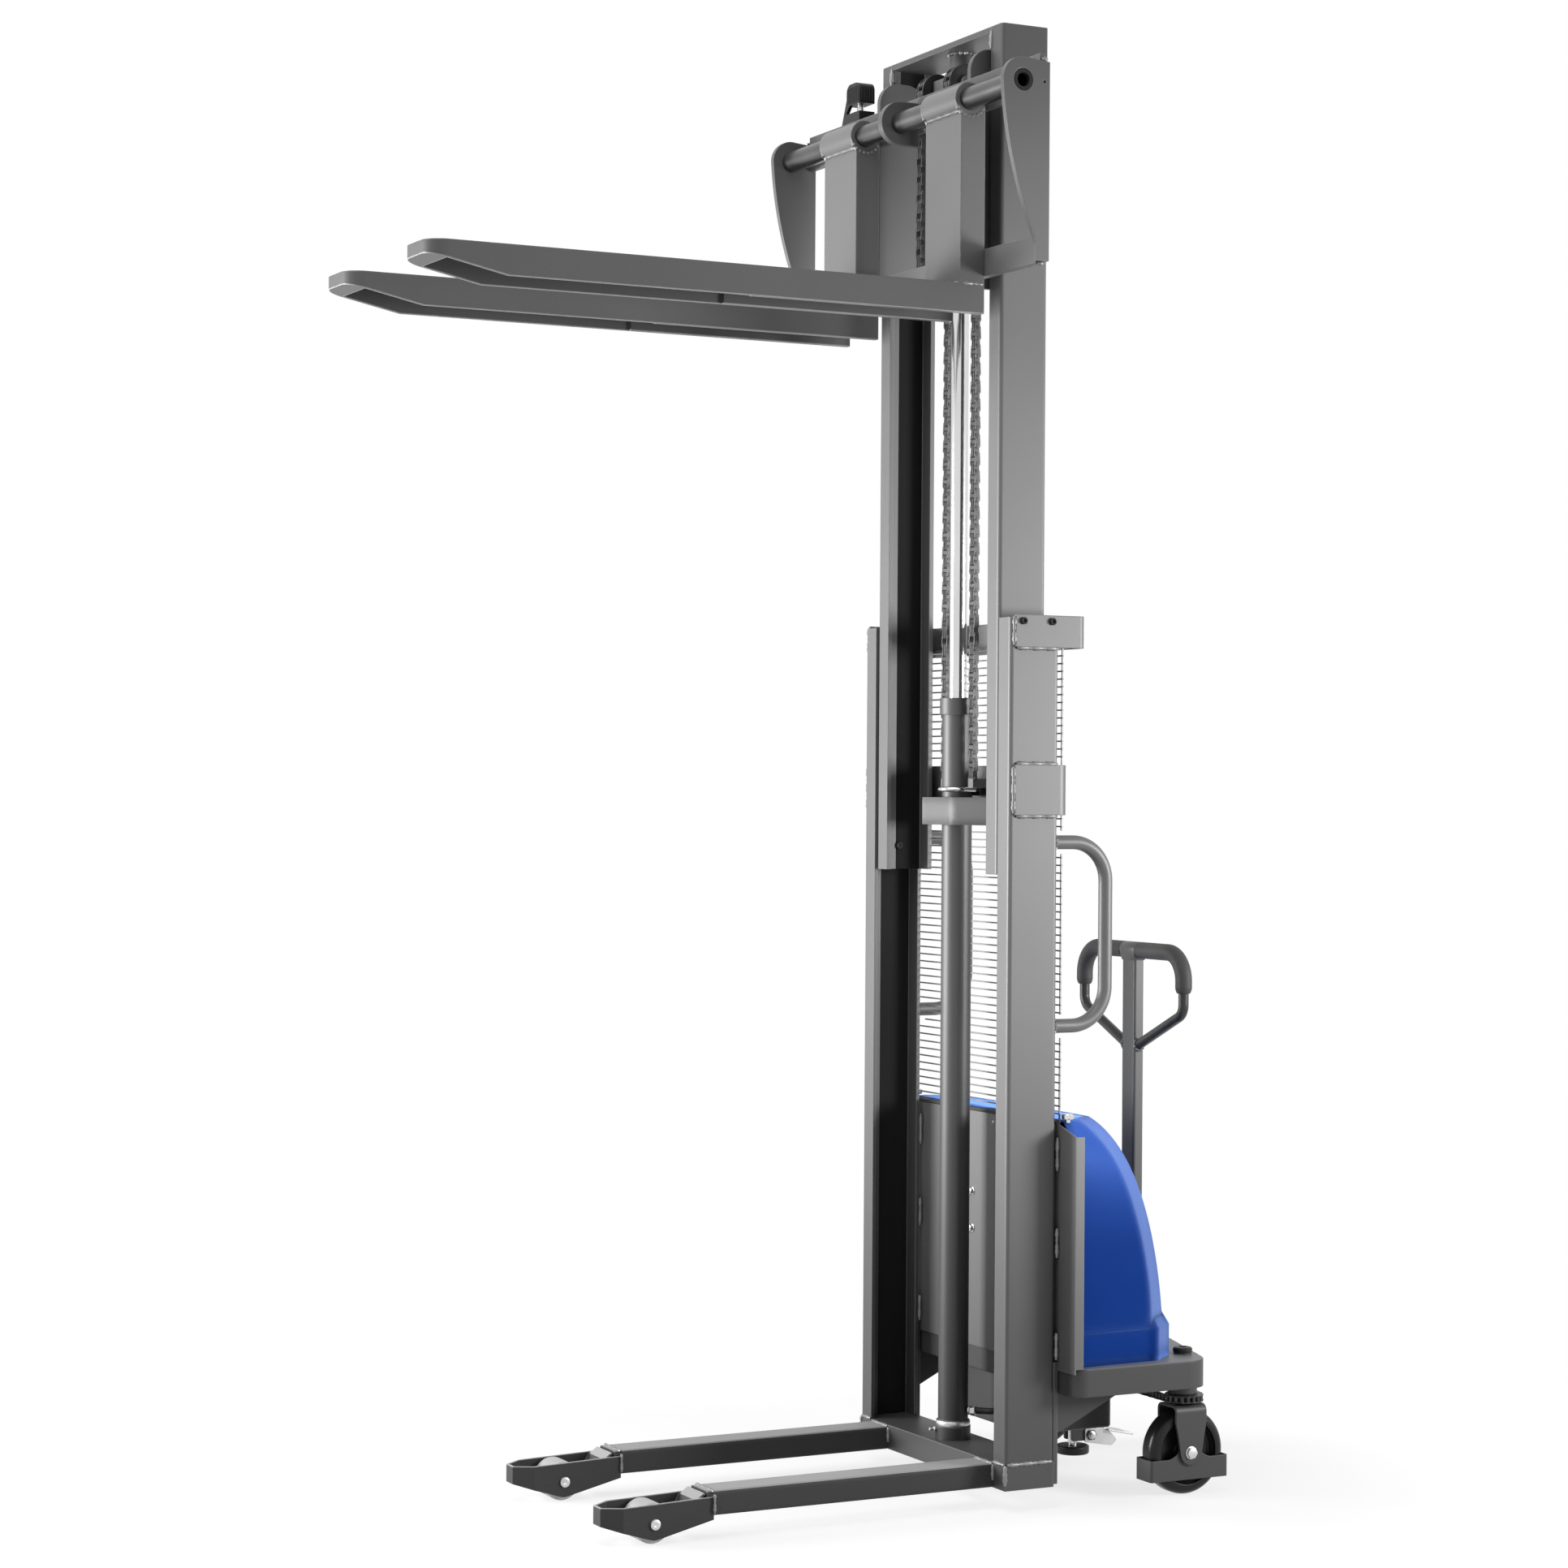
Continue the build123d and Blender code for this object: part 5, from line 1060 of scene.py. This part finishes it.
carriageSeams = {"bar": (0.003, 0.018), "plate": (0.006, 0.305, 0.320), "hook": (0.3065, 2.8640),
                 "stitches": ((0.020, 0.050), (0.045, 0.075), (0.400, 0.440))}


def carriageBeads(facts):
    # the lower bar's ends, the side plates' tops and stitches along the upper bar
    plateLow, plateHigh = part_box("carriage_plate_left")
    barLow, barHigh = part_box("carriage_lower_bar")
    inner = min(abs(plateLow.x), abs(plateHigh.x))
    near, far = facts["bar"]
    rows = []
    for height in (barLow.z, barHigh.z):
        rows.append(((inner, barLow.y + near, height), (inner, min(barLow.y + far, plateHigh.y), height)))
    outward, front, back = facts["plate"]
    rows.append(((inner + outward, front, plateHigh.z), (inner + outward, back, plateHigh.z)))
    for first, last in facts["stitches"]:
        rows.append(((first, *facts["hook"]), (last, *facts["hook"])))
    weldPiece("carriage_welds", rows, "carriage", beadRadius)


bossSeam = {"centre": (0, 0.4135, 3.0415), "radius": 0.0262, "angles": (90, 270), "count": 8,
            "channel": ((0.2135, 0.3605, 3.008), (0.2135, 0.3605, 3.046))}


def mastBeads(facts):
    # the rod's boss and the channel ends, welded to the top plate
    rows = ringRows(facts["centre"], (1, 0, 0), (0, 1, 0), facts["radius"], facts["angles"], facts["count"])
    rows.append(facts["channel"])
    weldPiece("mast_welds", rows, "inner_mast", beadRadius)


loopSeam = {"x": 0.0258, "height": 0.9228, "lean": (-0.18, 0, 1.05), "radius": 0.0122, "count": 12,
            "share": 0.6}


def tillerBeads(facts):
    # where the loop's tube meets the post
    centre = (facts["x"], middleOf("tiller_grip").y, facts["height"])
    rows = ringRows(centre, (0, 1, 0), facts["lean"], facts["radius"], (0, 360), facts["count"])
    weldPiece("tiller_welds", rows, "tiller", beadRadius * facts["share"])


tipSeam = {"low": 0.050, "high": 0.088, "top": 0.0930, "inset": 0.004, "share": 0.7}


def tipBeads(facts):
    # round the back of each leg tip
    tipLow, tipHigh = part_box("leg_tip_right")
    back, top = tipHigh.y, facts["top"]
    rows = [((edge, back, facts["low"]), (edge, back, facts["high"])) for edge in (tipLow.x, tipHigh.x)]
    rows.append(((tipLow.x + facts["inset"], back, top), (tipHigh.x - facts["inset"], back, top)))
    weldPiece("tip_welds", rows, "chassis", beadRadius * facts["share"])


weldPiece("chassis_welds", chassisBeads, "chassis", beadRadius)
for side in ("left", "right"):
    forkBeads(side, forkSeams)
carriageBeads(carriageSeams)
mastBeads(bossSeam)
tillerBeads(loopSeam)
tipBeads(tipSeam)
print("welds laid")
